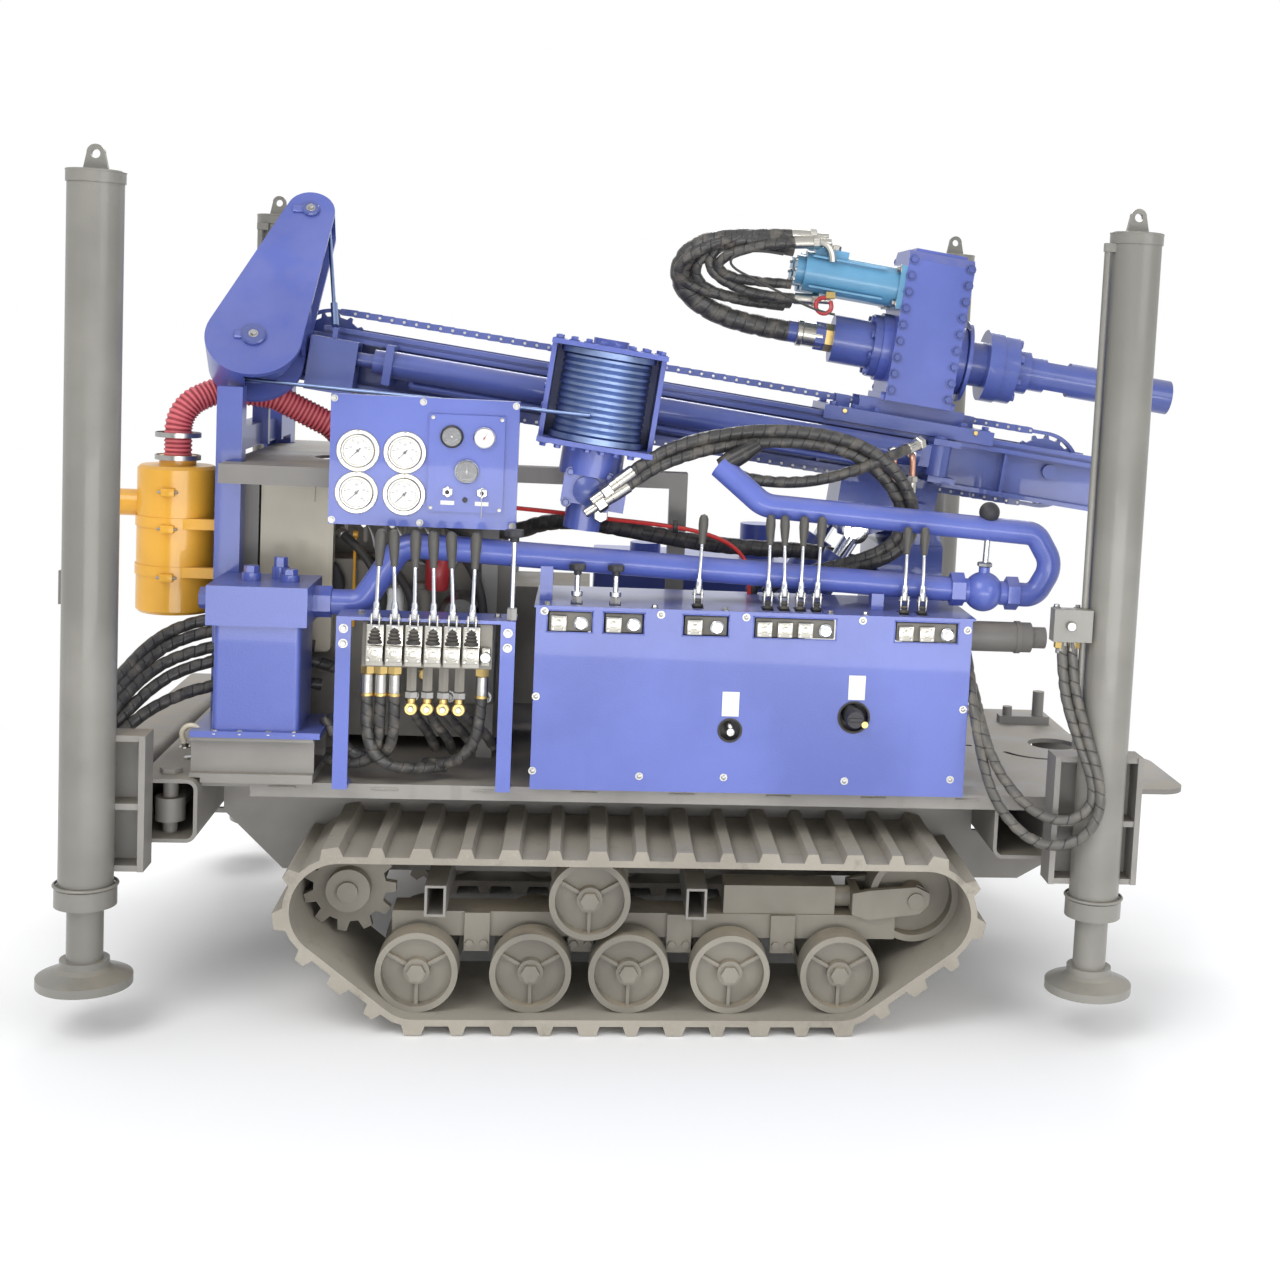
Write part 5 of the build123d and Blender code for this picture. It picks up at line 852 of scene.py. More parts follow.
def lever_box_bank():
    """The valves behind the lever box's front, with their levers, knobs and the two dial handles."""
    kit = Kit("box_valve_bank", "chassis", [ZINC, CHROME, GRIP, PLAIN_HOSE, STEEL, CAST, DARK, BRASS])
    for first, last in BOX_CUTS:
        kit.block(at(first + 3, BOX_FRONT + 4, 943), at(last - 3, BOX_FRONT + 125, 989), 5, 0.003)
        middle = (first + last) / 2
        kit.block(at(middle - 30, BOX_FRONT + 40, 560), at(middle + 30, BOX_FRONT + 110, 944), 5)
        count = max(2, int((last - first) / 46))
        pitch = (last - first) / count
        for index in range(count):
            spot = at(first + pitch * (index + 0.5), BOX_FRONT + 2, 963)
            if index == count - 1:
                cap = [(0, 0), (0, 0.017), (0.008, 0.017), (0.012, 0.012), (0.012, 0)]
                kit.turned(cap, spot, NEAR, 20, 1)
                kit.prism(spot + NEAR * 0.009, NEAR, 0.008, 0.016, 4)
            else:
                valve_cap(kit, spot, 0.0185, 0.012, 0, 4)
    for x, height, grip, lean in BOX_LEVERS:
        foot = at(x, BOX_LEVER_ROW, 986)
        if grip > 12:
            kit.rod(foot, UP, 0.085, 0.0065, 1, 14)
            kit.prism(foot + UP * 0.004, UP, 0.030, 0.024, 0)
            kit.rod(foot + UP * 0.034, UP, 0.012, 0.014, 1, 16)
            star_knob(kit, foot + UP * 0.096, UP, 0.021, 6)
        else:
            kit.turned(BOX_BOOT, foot, UP, 16, 3)
            fork(kit, foot + UP * 0.030, 4)
            tip = at(x + lean, BOX_LEVER_ROW, 1003 + height)
            lever(kit, foot + UP * 0.050, tip, 0.0046, 0.0115, 1, 2, 0.38)
    for x, z, radius, depth, finish in ((277, 714, 0.011, 24, 4), (577, 753, 0.024, 34, 6)):
        start = at(x, BOX_FRONT + 60, z)
        kit.turned([(0, 0), (0, radius), (0.060 + depth * 0.6 * MM, radius),
                    (0.060 + depth * MM, radius * 0.82), (0.060 + depth * MM, 0)], start, NEAR, 28, finish)
        kit.block(at(x - 40, BOX_FRONT + 55, 560), at(x + 40, BOX_FRONT + 110, z + 35), 5)
    tick = at(600, BOX_FRONT - 30, 742)
    kit.rod(tick, NEAR, 0.005, 0.0085, 7, 16)
    kit.block(at(560, -658, 748), at(594, -652, 758), 6, 0.002)
    kit.done("box_valves")
    face = Kit("box_face", "chassis", [STEEL, WHITE, PLAIN_HOSE, BLUE])
    screw = [(0, 0), (0, 0.0062), (0.002, 0.0056), (0.0034, 0.003), (0.0036, 0)]
    for x, z in BOX_SCREWS:
        spot = at(x, BOX_FRONT, z)
        face.rod(spot, NEAR, 0.0016, 0.0095, 0, 16)
        face.turned(screw, spot + NEAR * 0.0012, NEAR, 14, 0)
    for x, z in ((276, 778), (581, 826)):
        face.block(at(x - 20.5, BOX_FRONT - 1.4, z - 30), at(x + 20.5, BOX_FRONT + 0.2, z + 30), 1, 0.0008)
    ring = ((0, 0), (-0.0006, 0.004), (0.0022, 0.004), (0.003, 0.0015), (0.0022, -0.001),
            (-0.004, -0.001))
    for x, z, radius in ((277, 714, 0.026), (577, 753, 0.036)):
        face.turned([(out, radius + wider) for out, wider in ring], at(x, BOX_FRONT, z), NEAR, 40, 2)
    for first, last in BOX_CUTS:
        for x0, x1, z0, z1 in ((first - 3, last + 3, 939, 942), (first - 3, last + 3, 991, 994),
                               (first - 3, first, 939, 994), (last, last + 3, 939, 994)):
            face.block(at(x0, BOX_FRONT - 1.5, z0), at(x1, BOX_FRONT + 3, z1), 3, 0.0006)
    for x in range(-170, 850, 85):
        if all(abs(x - row[0]) > 26 for row in BOX_LEVERS):
            face.bolt(at(x, -600, 1003), UP, 0.012)
    face.done()


# Gauges
PANEL_FRONT = -560
PLATE_FRONT = PANEL_FRONT - 8
DIAL_R = 0.0334
BIG_GAUGES = ((-623, 1347), (-515, 1347), (-624, 1248), (-514, 1248))
SMALL_GAUGES = (
    # x, z, radius, finishes of rim, face and marks, sweep and start of the marks, needle's turn and finish
    (-407, 1390, 27, 2, 2, 1, 180.0, 180.0, 130, 1),
    (-331, 1390, 27, 3, 1, 2, 180.0, 180.0, 60, 4),
    (-370, 1309, 30, 3, 2, 1, 120.0, 150.0, 90, 1),
)


def round_dial(degrees):
    """The way from a dial's middle to its rim, turned anticlockwise from the right."""
    turn = math.radians(degrees)
    return Vector((math.cos(turn), 0, math.sin(turn)))


def flat_bar(kit, corners, thickness, finish):
    """A thin plate between corners."""
    shape = bmesh.new()
    shape.faces.new([shape.verts.new(corner) for corner in corners])
    bmesh.ops.solidify(shape, geom=shape.faces[:], thickness=thickness)
    kit.add(shape, finish, smooth=False)


def dial_ticks(kit, centre, radius, count, finish, sweep=270.0, start=225.0):
    """The marks round a dial, every fifth one longer and wider."""
    for index in range(count):
        long = index % 5 == 0
        inner, outer = radius * (0.70 if long else 0.77), radius * 0.86
        spoke = round_dial(start - sweep * index / (count - 1))
        across = Vector((-spoke.z, 0, spoke.x))
        wide = radius * (0.022 if long else 0.012)
        flat_bar(kit, [centre + spoke * inner - across * wide, centre + spoke * outer - across * wide,
                       centre + spoke * outer + across * wide, centre + spoke * inner + across * wide],
                 0.0005, finish)


def needle(kit, centre, radius, degrees, finish):
    """A dial's hand, wide at its tail, with its hub."""
    spoke = round_dial(degrees)
    across = spoke.cross(NEAR)
    tail, tip = centre - spoke * radius * 0.26, centre + spoke * radius * 0.78
    flat_bar(kit, [tail - across * radius * 0.05, tip - across * radius * 0.008,
                   tip + across * radius * 0.008, tail + across * radius * 0.05], 0.0008, finish)
    kit.rod(centre, NEAR, 0.003, radius * 0.10, finish, 14)


def numeral(text, size, place):
    """A plain number on a dial, cut flat and set a hair in front of the face."""
    curve = bpy.data.curves.new("dial_number", "FONT")
    curve.body = text
    curve.size = size
    curve.align_x = "CENTER"
    curve.align_y = "CENTER"
    curve.resolution_u = 2
    carrier = bpy.data.objects.new("dial_number", curve)
    data = bpy.data.meshes.new_from_object(carrier)
    bpy.data.objects.remove(carrier)
    bpy.data.curves.remove(curve)
    data.transform(Matrix.Translation(place) @ Matrix.Rotation(math.radians(90), 4, "X"))
    shape = bmesh.new()
    shape.from_mesh(data)
    bpy.data.meshes.remove(data)
    return shape


def gauge_set():
    """Four flanged pressure gauges, three small ones, two key switches and the blank plates under them."""
    kit = Kit("gauge_faces", "chassis", [STEEL, WHITE, DARK, CHROME, RED_PAINT, ZINC])
    flange = [(0, 0), (0, 0.0500), (0.003, 0.0500), (0.0045, 0.0485), (0.0045, 0.0405), (0.009, 0.0395),
              (0.0115, 0.037), (0.0115, 0.0345), (0.008, 0.0335), (0.0055, 0.0335), (0.0055, 0)]
    screw = [(0, 0), (0, 0.0036), (0.0018, 0.0030), (0.0024, 0)]
    for x, z in BIG_GAUGES:
        centre = at(x, PANEL_FRONT, z)
        kit.turned(flange, centre, NEAR, 48, 5)
        kit.rod(centre + NEAR * 0.0052, NEAR, 0.0008, DIAL_R, 1, 48, 0.0)
        face = centre + NEAR * 0.0062
        dial_ticks(kit, face, DIAL_R, 26, 2)
        for index, text in enumerate(("0", "10", "20", "30", "40")):
            spot = face + round_dial(225 - 270 * index / 4) * 0.0190 + NEAR * 0.0003
            kit.add(numeral(text, 0.0075, spot), 2, smooth=False)
        needle(kit, face + NEAR * 0.0010, DIAL_R, 226, 2)
        for degrees in (90, 210, 330):
            kit.turned(screw, centre + round_dial(degrees) * 0.0452 + NEAR * 0.0044, NEAR, 12, 3)
    for x, z, radius, rim, front, marks, sweep, start, degrees, hand in SMALL_GAUGES:
        r = radius * MM
        centre = at(x, PLATE_FRONT, z)
        kit.turned([(0, 0), (0, r), (0.006, r), (0.010, r * 0.96), (0.0115, r * 0.90), (0.0100, r * 0.84),
                    (0.006, r * 0.82), (0.006, 0)], centre, NEAR, 40, rim)
        kit.rod(centre + NEAR * 0.0058, NEAR, 0.0008, r * 0.82, front, 40, 0.0)
        face = centre + NEAR * 0.0068
        dial_ticks(kit, face, r * 0.82, 13, marks, sweep, start)
        needle(kit, face + NEAR * 0.0008, r * 0.82, degrees, hand)
    kit.done("gauges")
    glass = Kit("gauge_glasses", "chassis", [GLASS])
    dome = [(0, 0), (0, 0.0338), (0.0012, 0.0334), (0.0024, 0.020), (0.0028, 0)]
    for x, z in BIG_GAUGES:
        glass.turned(dome, at(x, PANEL_FRONT - 8.2, z), NEAR, 40)
    for x, z, radius, *_ in SMALL_GAUGES:
        glass.turned([(0, 0), (0, radius * MM * 0.82), (0.0014, 0)], at(x, PLATE_FRONT - 9, z), NEAR, 32)
    glass.done()
    keys = Kit("key_switches", "chassis", [CHROME, DARK, WHITE, STEEL])
    for x, z in ((-413, 1259), (-333, 1259)):
        centre = at(x, PLATE_FRONT, z)
        keys.prism(centre, NEAR, 0.004, 0.024, 0)
        keys.rod(centre + NEAR * 0.003, NEAR, 0.010, 0.0095, 0, 24)
        keys.rod(centre + NEAR * 0.0125, NEAR, 0.001, 0.006, 1, 16)
        keys.block(at(x - 16, PANEL_FRONT - 9.2, z - 31), at(x + 16, PANEL_FRONT - 7.8, z - 21), 2, 0.0005)
    key = at(-333, PLATE_FRONT - 12, 1259)
    keys.block(key + Vector((-0.001, -0.016, -0.004)), key + Vector((0.001, 0, 0.004)), 3, 0.0004)
    keys.turned([(-0.0012, 0), (-0.0012, 0.010), (0.0012, 0.010), (0.0012, 0)], key + NEAR * 0.022, RIGHT,
                20, 3)
    keys.sweep(smooth_path([key + Vector((0, -0.030, -0.004)), key + Vector((0.004, -0.032, -0.030)),
                            key + Vector((0.002, -0.030, -0.055))], 0.004), 0.0012, 3, 8)
    keys.rod(at(-372, PLATE_FRONT, 1241), NEAR, 0.006, 0.006, 1, 16)
    keys.done()
    panel = Kit("panel_trim", "chassis", [STEEL, BLUE, PLAIN_HOSE])
    for x in (-680, -476, -260):
        for z in (1182, 1468):
            panel.bolt(at(x, PANEL_FRONT, z), NEAR, 0.010)
    for x, z in ((-452, 1434), (-292, 1434), (-452, 1220), (-292, 1220)):
        panel.turned([(0, 0), (0, 0.005), (0.002, 0.0046), (0.003, 0)], at(x, PLATE_FRONT, z), NEAR, 12, 0)
    panel.done()


# Fasteners and trim
def weld_bead(kit, start, end, radius, finish):
    """A rippled weld along an edge."""
    start, end = Vector(start), Vector(end)
    count = max(4, int((end - start).length / 0.004))
    path = [start.lerp(end, index / count) for index in range(count + 1)]
    kit.sweep(path, radius, finish, 6, lambda run, turn: radius * (1.0 + 0.18 * math.sin(run * 1100)))


def head_bolts():
    """Bolts of the gearbox, its flanges and the sled, with the feed sled's grease points."""
    kit = Kit("gearbox_bolts", "head", [BLUE_DEEP, STEEL, BRASS])
    for u in (-134, 22):
        for index in range(9):
            kit.bolt(on_mast(u, -122, 334 + index * 44), NEAR, 0.017, 0)
            kit.bolt(on_mast(u, 122, 334 + index * 44), NEAR * -1, 0.017, 0)
    for index in range(8):
        turn = 2 * math.pi * (index + 0.5) / 8
        y, w = 75 * math.cos(turn), DRILL_AXIS + 75 * math.sin(turn)
        kit.bolt(on_mast(-194, y, w), MAST_ALONG * -1, 0.016, 0)
    for index in range(10):
        turn = 2 * math.pi * index / 10
        y, w = 80 * math.cos(turn), DRILL_AXIS + 80 * math.sin(turn)
        kit.bolt(on_mast(60, y, w), MAST_ALONG, 0.014, 0, washer=False)
    for u in range(-280, 160, 60):
        for side in (-1, 1):
            if not -150 < u < 60:
                kit.bolt(on_mast(u, side * 112, 268), MAST_UP, 0.018, 0)
    for u in (-250, 110):
        kit.bolt(on_mast(u, -136, 259), NEAR, 0.012, 2, washer=False)
    weld_bead(kit, on_mast(-158, -112, 323), on_mast(46, -112, 323), 0.0035, 0)
    kit.done()
    motors = Kit("motor_fittings", "head", [SKY, STEEL, ZINC])
    motor_y, motor_w = 62, 608
    for side in (-1, 1):
        for dy in (-46, 46):
            for dw in (-46, 46):
                motors.bolt(on_mast(-162, side * motor_y + dy, motor_w + dw), MAST_ALONG * -1, 0.016, 1)
        for index in range(6):
            turn = math.pi * index / 3
            spot = on_mast(-436, side * motor_y + 30 * math.cos(turn), motor_w + 30 * math.sin(turn))
            motors.bolt(spot, MAST_ALONG * -1, 0.009, 1, washer=False)
        for u in (-390, -340):
            motors.prism(on_mast(u, side * motor_y - 12, 672), MAST_UP, 0.016, 0.026, 2)
        for w in (568, 648):
            motors.block((-0.10, -0.004, -0.003), (0.10, 0.004, 0.003), 0, 0.001,
                         laid_along(on_mast(-300, side * (motor_y + 50), w)))
    motors.done()


def laid_along(place):
    """The placing of a shape that was made along X, laid along the mast."""
    return Matrix.Translation(place) @ Matrix.Rotation(SLOPE, 4, "Y")


def winch_trim():
    """Bolts on the winch's flanges, its motor and drum cheeks, and the hose unions."""
    kit = Kit("winch_bolts", "mast", [BLUE, STEEL, BLUE_DEEP])
    motor_u = -888
    for index in range(8):
        u = -1014 + index * 36
        for y in (-462, -250):
            kit.bolt(on_mast(u, y, 322), MAST_UP, 0.015, 0)
        kit.bolt(on_mast(u, -462, 68), MAST_UP * -1, 0.015, 0)
    for index in range(5):
        for u, axis in ((-1030, MAST_ALONG * -1), (-746, MAST_ALONG)):
            kit.bolt(on_mast(u, -260, 100 + index * 48), axis, 0.013, 0, washer=False)
    for index in range(8):
        turn = 2 * math.pi * index / 8
        spot = on_mast(motor_u + 64 * math.cos(turn), -363 + 64 * math.sin(turn), 1)
        kit.bolt(spot, MAST_UP * -1, 0.014, 0, washer=False)
    for du in (-48, 48):
        for w in (-60, 16):
            kit.bolt(on_mast(motor_u + du, -425, w - 12), NEAR, 0.015, 2)
    kit.turned([(0, 0), (0, 0.036), (0.012, 0.036), (0.016, 0.026), (0.022, 0.012), (0.022, 0)],
               on_mast(motor_u, -425, -36), NEAR, 24, 2)
    for u, w in ((-846, -48), (-846, -92)):
        kit.prism(on_mast(u, -396, w), NEAR, 0.030, 0.034, 1)
    kit.done()


def crown_trim():
    """Pin caps and lock plates on the crown arm and the sheave pins."""
    kit = Kit("crown_pins", "mast", [BLUE, BLUE_DEEP, STEEL])
    for (u, y, w), radius in (((-1751, -250, 162), 0.030), ((-1700, 0, 498), 0.022)):
        out = Vector((0, -(498 - 162), 250)).normalized()
        out = Vector((0, out.y, 0)) + MAST_UP * out.z
        seat = on_mast(u, y, w) + out * 0.060
        cap = [(0, 0), (0, radius), (0.008, radius), (0.011, radius * 0.86), (0.011, 0)]
        kit.turned(cap, seat, out, 28, 1)
        kit.bolt(seat + out * 0.010, out, 0.014, 2)
        kit.block((-0.045, -0.011, 0), (0.0, 0.011, 0.006), 0, 0.002, aimed(seat, out))
    kit.done()


def chain_links():
    """The feed chain's side plates and pins along both straight runs."""
    kit = Kit("chain_links", "mast", [BLUE_DEEP, STEEL])
    pitch = 31.75
    count = int(1880 / pitch)
    outline = [(math.cos(a) * 9.5 + (pitch / 2 if math.cos(a) > 0 else -pitch / 2), math.sin(a) * 9.5)
               for a in [math.pi * (k + 0.5) / 5 for k in range(10)]]
    for run_w in (289.0, 87.0):
        for index in range(count):
            u = -1570 + index * pitch
            out = 12.6 if index % 2 else 14.6
            for side in (-1, 1):
                shape = bmesh.new()
                corners = [shape.verts.new(on_mast(u + x, side * out, run_w + z)) for x, z in outline]
                shape.faces.new(corners)
                made = bmesh.ops.extrude_face_region(shape, geom=shape.faces[:])
                moved = [item for item in made["geom"] if isinstance(item, bmesh.types.BMVert)]
                bmesh.ops.translate(shape, vec=(0, side * 0.0018, 0), verts=moved)
                bmesh.ops.recalc_face_normals(shape, faces=shape.faces)
                kit.add(shape, 0, smooth=False)
            kit.rod(on_mast(u + pitch / 2, -17.5, run_w), FAR, 0.035, 0.0042, 1, 8)
    kit.done()


def pipe_trim():
    """The valve's knob and stem on the air pipe, band bolts, and copper pipes at the feed cylinder."""
    kit = Kit("pipe_valve", "chassis", [DARK, CHROME, STEEL, ZINC])
    kit.turned([(-0.026 * math.cos(a), 0.026 * math.sin(a)) for a in [math.pi * k / 12 for k in range(13)]],
               at(908, -508.5, 1256), UP, 28, 0)
    kit.rod(at(906, -505, 1126), (0.003, -0.004, 0.125), 0.108, 0.0078, 1, 14)
    kit.prism(at(905, -503, 1118), UP, 0.012, 0.034, 2)
    kit.done()
    kit = Kit("feed_pipes", "mast", [COPPER, ZINC, BLUE_DEEP])
    for u, drop in ((-66, 0.058), (-116, 0.076)):
        start = on_mast(u, -208, 176)
        out = start + NEAR * 0.034
        route = [start, start + NEAR * 0.022, out - UP * 0.012, out - UP * drop]
        kit.sweep(smooth_path(route, 0.003), 0.0085, 0, 14)
        kit.prism(start + NEAR * 0.004, NEAR, 0.012, 0.024, 1)
        kit.prism(out - UP * (drop + 0.012), UP, 0.016, 0.026, 1)
        kit.rod(out - UP * (drop + 0.040), UP, 0.030, 0.012, 1, 16)
    kit.done()


INTAKE = (
    # corner, then the radius of the bend there
    (-1098, -250, 1295, None), (-1098, -250, 1415, 0.090), (-1008, -200, 1462, 0.090),
    (-880, -190, 1450, 0.120), (-740, -150, 1378, 0.060), (-700, -120, 1330, 0.040),
    (-700, -120, 1170.3, None),
)
INTAKE_R = 0.034
RIB_HEIGHT = 0.0020


def intake_run():
    """The corrugated hose from the air cleaner over the gantry to the engine."""
    def ribs(run, turn):
        return INTAKE_R - RIB_HEIGHT + RIB_HEIGHT * math.sin(2 * math.pi * run / RIB_PITCH)
    kit = Kit("intake_run", "chassis", [RED_HOSE, ZINC])
    path = bent_path([at(*row[:3]) for row in INTAKE], [row[3] for row in INTAKE[1:-1]])
    kit.sweep(path, INTAKE_R, 0, 20, ribs)
    kit.done("intake_hose", crease=80.0)


def tank_trim():
    """Bolts and a lifting loop at the lubricator, clamps on the air cleaner, mesh by the radiator."""
    kit = Kit("tank_fittings", "chassis", [BLUE, ZINC, CREAM, STEEL, YELLOW])
    for x in (-934, -868, -803, -737):
        kit.bolt(at(x + (8 if x < -900 else -8 if x > -750 else 0), -610, 676), UP, 0.014, 1)
    for index in range(5):
        kit.bolt(at(-925 + index * 44, -612, 1018), UP, 0.011, 0, washer=False)
    loop = [(-1002, -560, 640), (-1010, -572, 660), (-1000, -582, 684), (-980, -584, 690), (-962, -580, 676),
            (-960, -570, 655)]
    kit.sweep(route_path(loop, 0.004), 0.006, 2, 10)
    kit.bolt(at(-1002, -560, 630), UP, 0.016, 1)
    for z in (1000, 1120, 1210):
        spot = at(-1098, -347, z)
        kit.block(spot + Vector((-0.016, -0.012, -0.010)), spot + Vector((0.016, 0.004, 0.010)), 4, 0.002)
        kit.rod(spot + Vector((-0.024, -0.006, 0)), RIGHT, 0.048, 0.0035, 3, 10)
    for z in (1284, 1340):
        band = [(0, 0.052), (0, 0.0545), (0.012, 0.0545), (0.012, 0.052)]
        kit.turned(band, at(-1098, -250, z), UP, 32, 3)
    kit.done()
    mesh = Kit("side_mesh", "chassis", [ZINC])
    for index in range(5):
        mesh.rod(at(-964 + index * 10, -262, 1038), UP, 0.213, 0.0012, 0, 6, 0.0)
    for index in range(22):
        mesh.rod(at(-965, -262, 1039 + index * 10), RIGHT, 0.043, 0.0012, 0, 6, 0.0)
    mesh.done()


def engine_dress():
    """What shows of the engine above the valve bank: filters, lines, pulley and cover ribs."""
    kit = Kit("engine_parts", "chassis", [RED_PAINT, WHITE, STEEL, CAST, COPPER, DARK, BRASS, YELLOW])
    kit.turned([(0, 0), (0, 0.024), (0.01, 0.030), (0.075, 0.030), (0.088, 0.022), (0.092, 0.012),
                (0.1, 0.012), (0.1, 0)], at(-452, -300, 985), UP, 28, 0)
    kit.turned([(0, 0), (0, 0.030), (0.008, 0.036), (0.105, 0.036), (0.118, 0.028), (0.118, 0)],
               at(-560, -290, 870), UP, 28, 1)
    for index in range(4):
        x = -640 + index * 70
        route = [at(x, -258, 1140), at(x + 8, -284, 1150), at(x + 26, -292, 1120), at(x + 34, -290, 1060),
                 at(-430, -286, 1040 - index * 8)]
        kit.sweep(smooth_path(route, 0.006), 0.0035, 2, 8)
        kit.prism(at(x, -256, 1140), NEAR, 0.014, 0.014, 2)
    for index in range(7):
        kit.block(at(-690 + index * 48, -262, 1095), at(-678 + index * 48, -254, 1165), 3, 0.003)
    kit.turned([(0, 0.02), (0, 0.074), (0.006, 0.078), (0.010, 0.070), (0.016, 0.070), (0.020, 0.078),
                (0.026, 0.074), (0.026, 0.02)], at(-760, -262, 985), NEAR, 36, 5)
    kit.turned([(0, 0), (0, 0.045), (0.02, 0.052), (0.07, 0.052), (0.09, 0.040), (0.09, 0)],
               at(-390, -256, 930), NEAR, 30, 2)
    kit.block(at(-520, -330, 700), at(-300, -262, 860), 3, 0.008)
    for x in (-500, -410, -320):
        kit.bolt(at(x, -330, 840), NEAR, 0.018, 2)
        kit.bolt(at(x, -330, 720), NEAR, 0.018, 2)
    kit.prism(at(-470, -335, 780), NEAR, 0.030, 0.030, 6)
    kit.rod(at(-660, -268, 880), UP, 0.24, 0.004, 7, 8)
    kit.rod(at(-665, -268, 1115), RIGHT, 0.012, 0.009, 7, 12)
    kit.done()


LEGS = (
    ("front_near", -1180, -720), ("front_far", -1030, 720),
    ("rear_near", 1175, -720), ("rear_far", 1025, 720),
)


def frame_trim():
    """Welds round the legs, bolts and unions on the right leg's lock block, and the deck's welds."""
    bead = 0.0035
    for name, x, y in LEGS:
        kit = Kit("leg_fittings_" + name, "outrigger_" + name, [LEG_GREY, STEEL, BRASS, GREY])
        leg = at(x, y, 0)
        for z, radius in ((1943, 0.0605), (344, 0.0685)):
            crown = [(bead + bead * math.cos(a), radius + bead * math.sin(a))
                     for a in [math.pi * k / 5 for k in range(1, 5)]]
            ring = [(0.0, radius - 0.002), *reversed(crown), (0.007, radius - 0.002)]
            kit.turned(ring, leg + UP * z * MM, UP, 40, 0)
        if name == "rear_near":
            for dx in (-130, -96):
                spot = at(x + dx, -743, 977)
                kit.prism(spot - UP * 0.018, UP, 0.018, 0.026, 2)
                kit.rod(spot - UP * 0.030, UP, 0.012, 0.010, 1, 14)
            for dx in (-138, -86):
                kit.bolt(at(x + dx, -723, 1054), UP, 0.012, 1)
            kit.rod(at(x - 112, -762, 1016), NEAR, 0.016, 0.011, 1, 18)
        kit.done()
    kit = Kit("deck_trim", "chassis", [GREY, STEEL, ZINC])
    for x in range(-800, 1080, 235):
        weld_bead(kit, at(x, -601, 549), at(x + 60, -601, 549), 0.0032, 0)
    for x, y in ((-1020, -430), (-1020, 430), (1080, 380)):
        kit.bolt(at(x, y, 560), UP, 0.024, 1)
    kit.done()


# Camera
CAMERA_PLACE = Vector((-0.2326, -4.9028, 1.6573))
CAMERA_TURN = (7.395, 5.202, 2.948)
PICTURE = 1280
FOCUS_PIXELS = 1809.39
CENTRE_PIXELS = (821.15, 506.43)


def look():
    """A camera that stands where the photograph was taken, with its yaw, pitch, roll and shifted lens."""
    yaw, pitch, roll = (math.radians(degrees) for degrees in CAMERA_TURN)
    ahead = Vector((math.sin(yaw) * math.cos(pitch), math.cos(yaw) * math.cos(pitch), -math.sin(pitch)))
    level = Vector((math.cos(yaw), -math.sin(yaw), 0))
    above = level.cross(ahead)
    right = math.cos(roll) * level + math.sin(roll) * above
    above = math.cos(roll) * above - math.sin(roll) * level
    data = bpy.data.cameras.new("camera")
    data.sensor_width = 36.0
    data.lens = data.sensor_width * FOCUS_PIXELS / PICTURE
    data.shift_x = (PICTURE / 2 - CENTRE_PIXELS[0]) / PICTURE
    data.shift_y = (CENTRE_PIXELS[1] - PICTURE / 2) / PICTURE
    camera = bpy.data.objects.new("camera", data)
    turn = Matrix((right, above, -ahead)).transposed().to_4x4()
    camera.matrix_world = Matrix.Translation(CAMERA_PLACE) @ turn
    bpy.context.scene.collection.objects.link(camera)
    bpy.context.scene.camera = camera


# Light and floor
def lamp(name, place, aim, size, power):
    data = bpy.data.lights.new(name, "AREA")
    data.shape = "RECTANGLE"
    data.size, data.size_y = size
    data.energy = power
    made = bpy.data.objects.new(name, data)
    made.location = place
    made.rotation_euler = (Vector(aim) - Vector(place)).to_track_quat("-Z", "Y").to_euler()
    bpy.context.scene.collection.objects.link(made)


def floor_white():
    """A pale floor under the rig that turns to plain white with distance, as a studio sweep does."""
    made = Finish("floor_white", (0.93, 0.93, 0.93, 1.0), 0.9)
    x, y, _ = made.split(made.place)
    away = made.node("ShaderNodeMath", {0: x * x + y * y}, operation="SQRT").above(1.7, 3.4)
    rays = made.tree.nodes.new("ShaderNodeLightPath")
    seen = Value(made, rays.outputs["Is Camera Ray"]) + Value(made, rays.outputs["Is Glossy Ray"])
    seen = seen + Value(made, rays.outputs["Is Transmission Ray"])
    glow = made.tree.nodes.new("ShaderNodeEmission")
    glow.inputs["Color"].default_value = (1.0, 1.0, 1.0, 1.0)
    both = made.tree.nodes.new("ShaderNodeMixShader")
    made.feed(both.inputs[0], made.node("ShaderNodeMath", {0: away * seen, 1: 1.0}, operation="MINIMUM"))
    made.tree.links.new(made.surface.outputs[0], both.inputs[1])
    made.tree.links.new(glow.outputs[0], both.inputs[2])
    made.tree.links.new(both.outputs[0], made.tree.nodes["Material Output"].inputs[0])
    return made.material


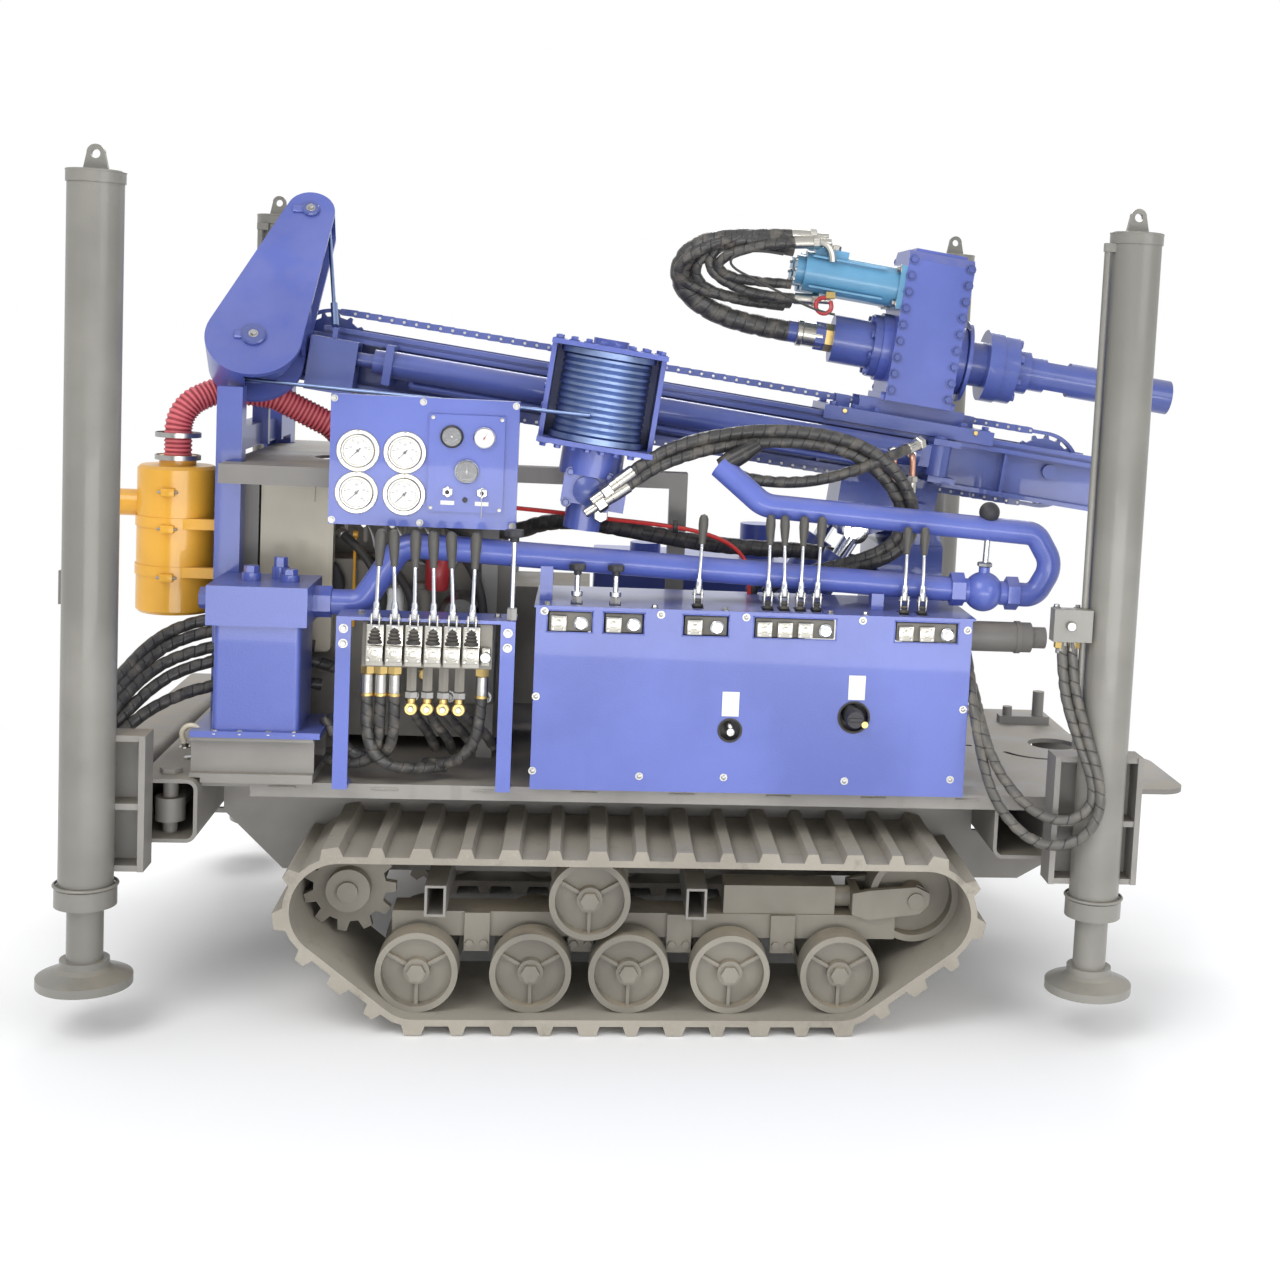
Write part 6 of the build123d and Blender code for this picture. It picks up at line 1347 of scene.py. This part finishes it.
def studio():
    world = bpy.data.worlds.new("world")
    bpy.context.scene.world = world
    world.use_nodes = True
    tree = world.node_tree
    tree.nodes.clear()
    rays = tree.nodes.new("ShaderNodeLightPath")
    seen = tree.nodes.new("ShaderNodeMath")
    seen.operation = "MAXIMUM"
    tree.links.new(rays.outputs["Is Camera Ray"], seen.inputs[0])
    tree.links.new(rays.outputs["Is Transmission Ray"], seen.inputs[1])
    soft = tree.nodes.new("ShaderNodeBackground")
    soft.inputs["Color"].default_value = (0.97, 0.98, 1.0, 1.0)
    soft.inputs["Strength"].default_value = 0.80
    white = tree.nodes.new("ShaderNodeBackground")
    white.inputs["Color"].default_value = (1.0, 1.0, 1.0, 1.0)
    white.inputs["Strength"].default_value = 1.0
    mix = tree.nodes.new("ShaderNodeMixShader")
    out = tree.nodes.new("ShaderNodeOutputWorld")
    tree.links.new(seen.outputs[0], mix.inputs[0])
    tree.links.new(soft.outputs[0], mix.inputs[1])
    tree.links.new(white.outputs[0], mix.inputs[2])
    tree.links.new(mix.outputs[0], out.inputs[0])
    lamp("key", (-3.5, -5.0, 6.0), (0, 0, 0.8), (4.0, 4.0), 230)
    lamp("fill", (4.5, -5.5, 3.2), (0, 0, 0.8), (4.0, 3.0), 110)
    lamp("low", (0.4, -5.2, 0.5), (0, 0, 0.45), (5.0, 0.9), 90)
    lamp("rim", (0.5, 5.5, 5.0), (0, 0, 1.0), (5.0, 2.5), 260)
    shape = bmesh.new()
    bmesh.ops.create_grid(shape, x_segments=1, y_segments=1, size=14.0)
    bmesh.ops.translate(shape, vec=(0, 0, -0.002), verts=shape.verts)
    data = bpy.data.meshes.new("floor")
    shape.to_mesh(data)
    shape.free()
    floor = bpy.data.objects.new("floor", data)
    bpy.context.scene.collection.objects.link(floor)
    data.materials.append(floor_white())


leg_hoses()
winch_hoses()
head_hoses()
low_hoses()
bay_hoses()
valve_stand_bank()
lever_box_bank()
gauge_set()
head_bolts()
winch_trim()
crown_trim()
chain_links()
pipe_trim()
intake_run()
tank_trim()
engine_dress()
frame_trim()
look()
studio()
bpy.context.scene.view_settings.view_transform = "Standard"
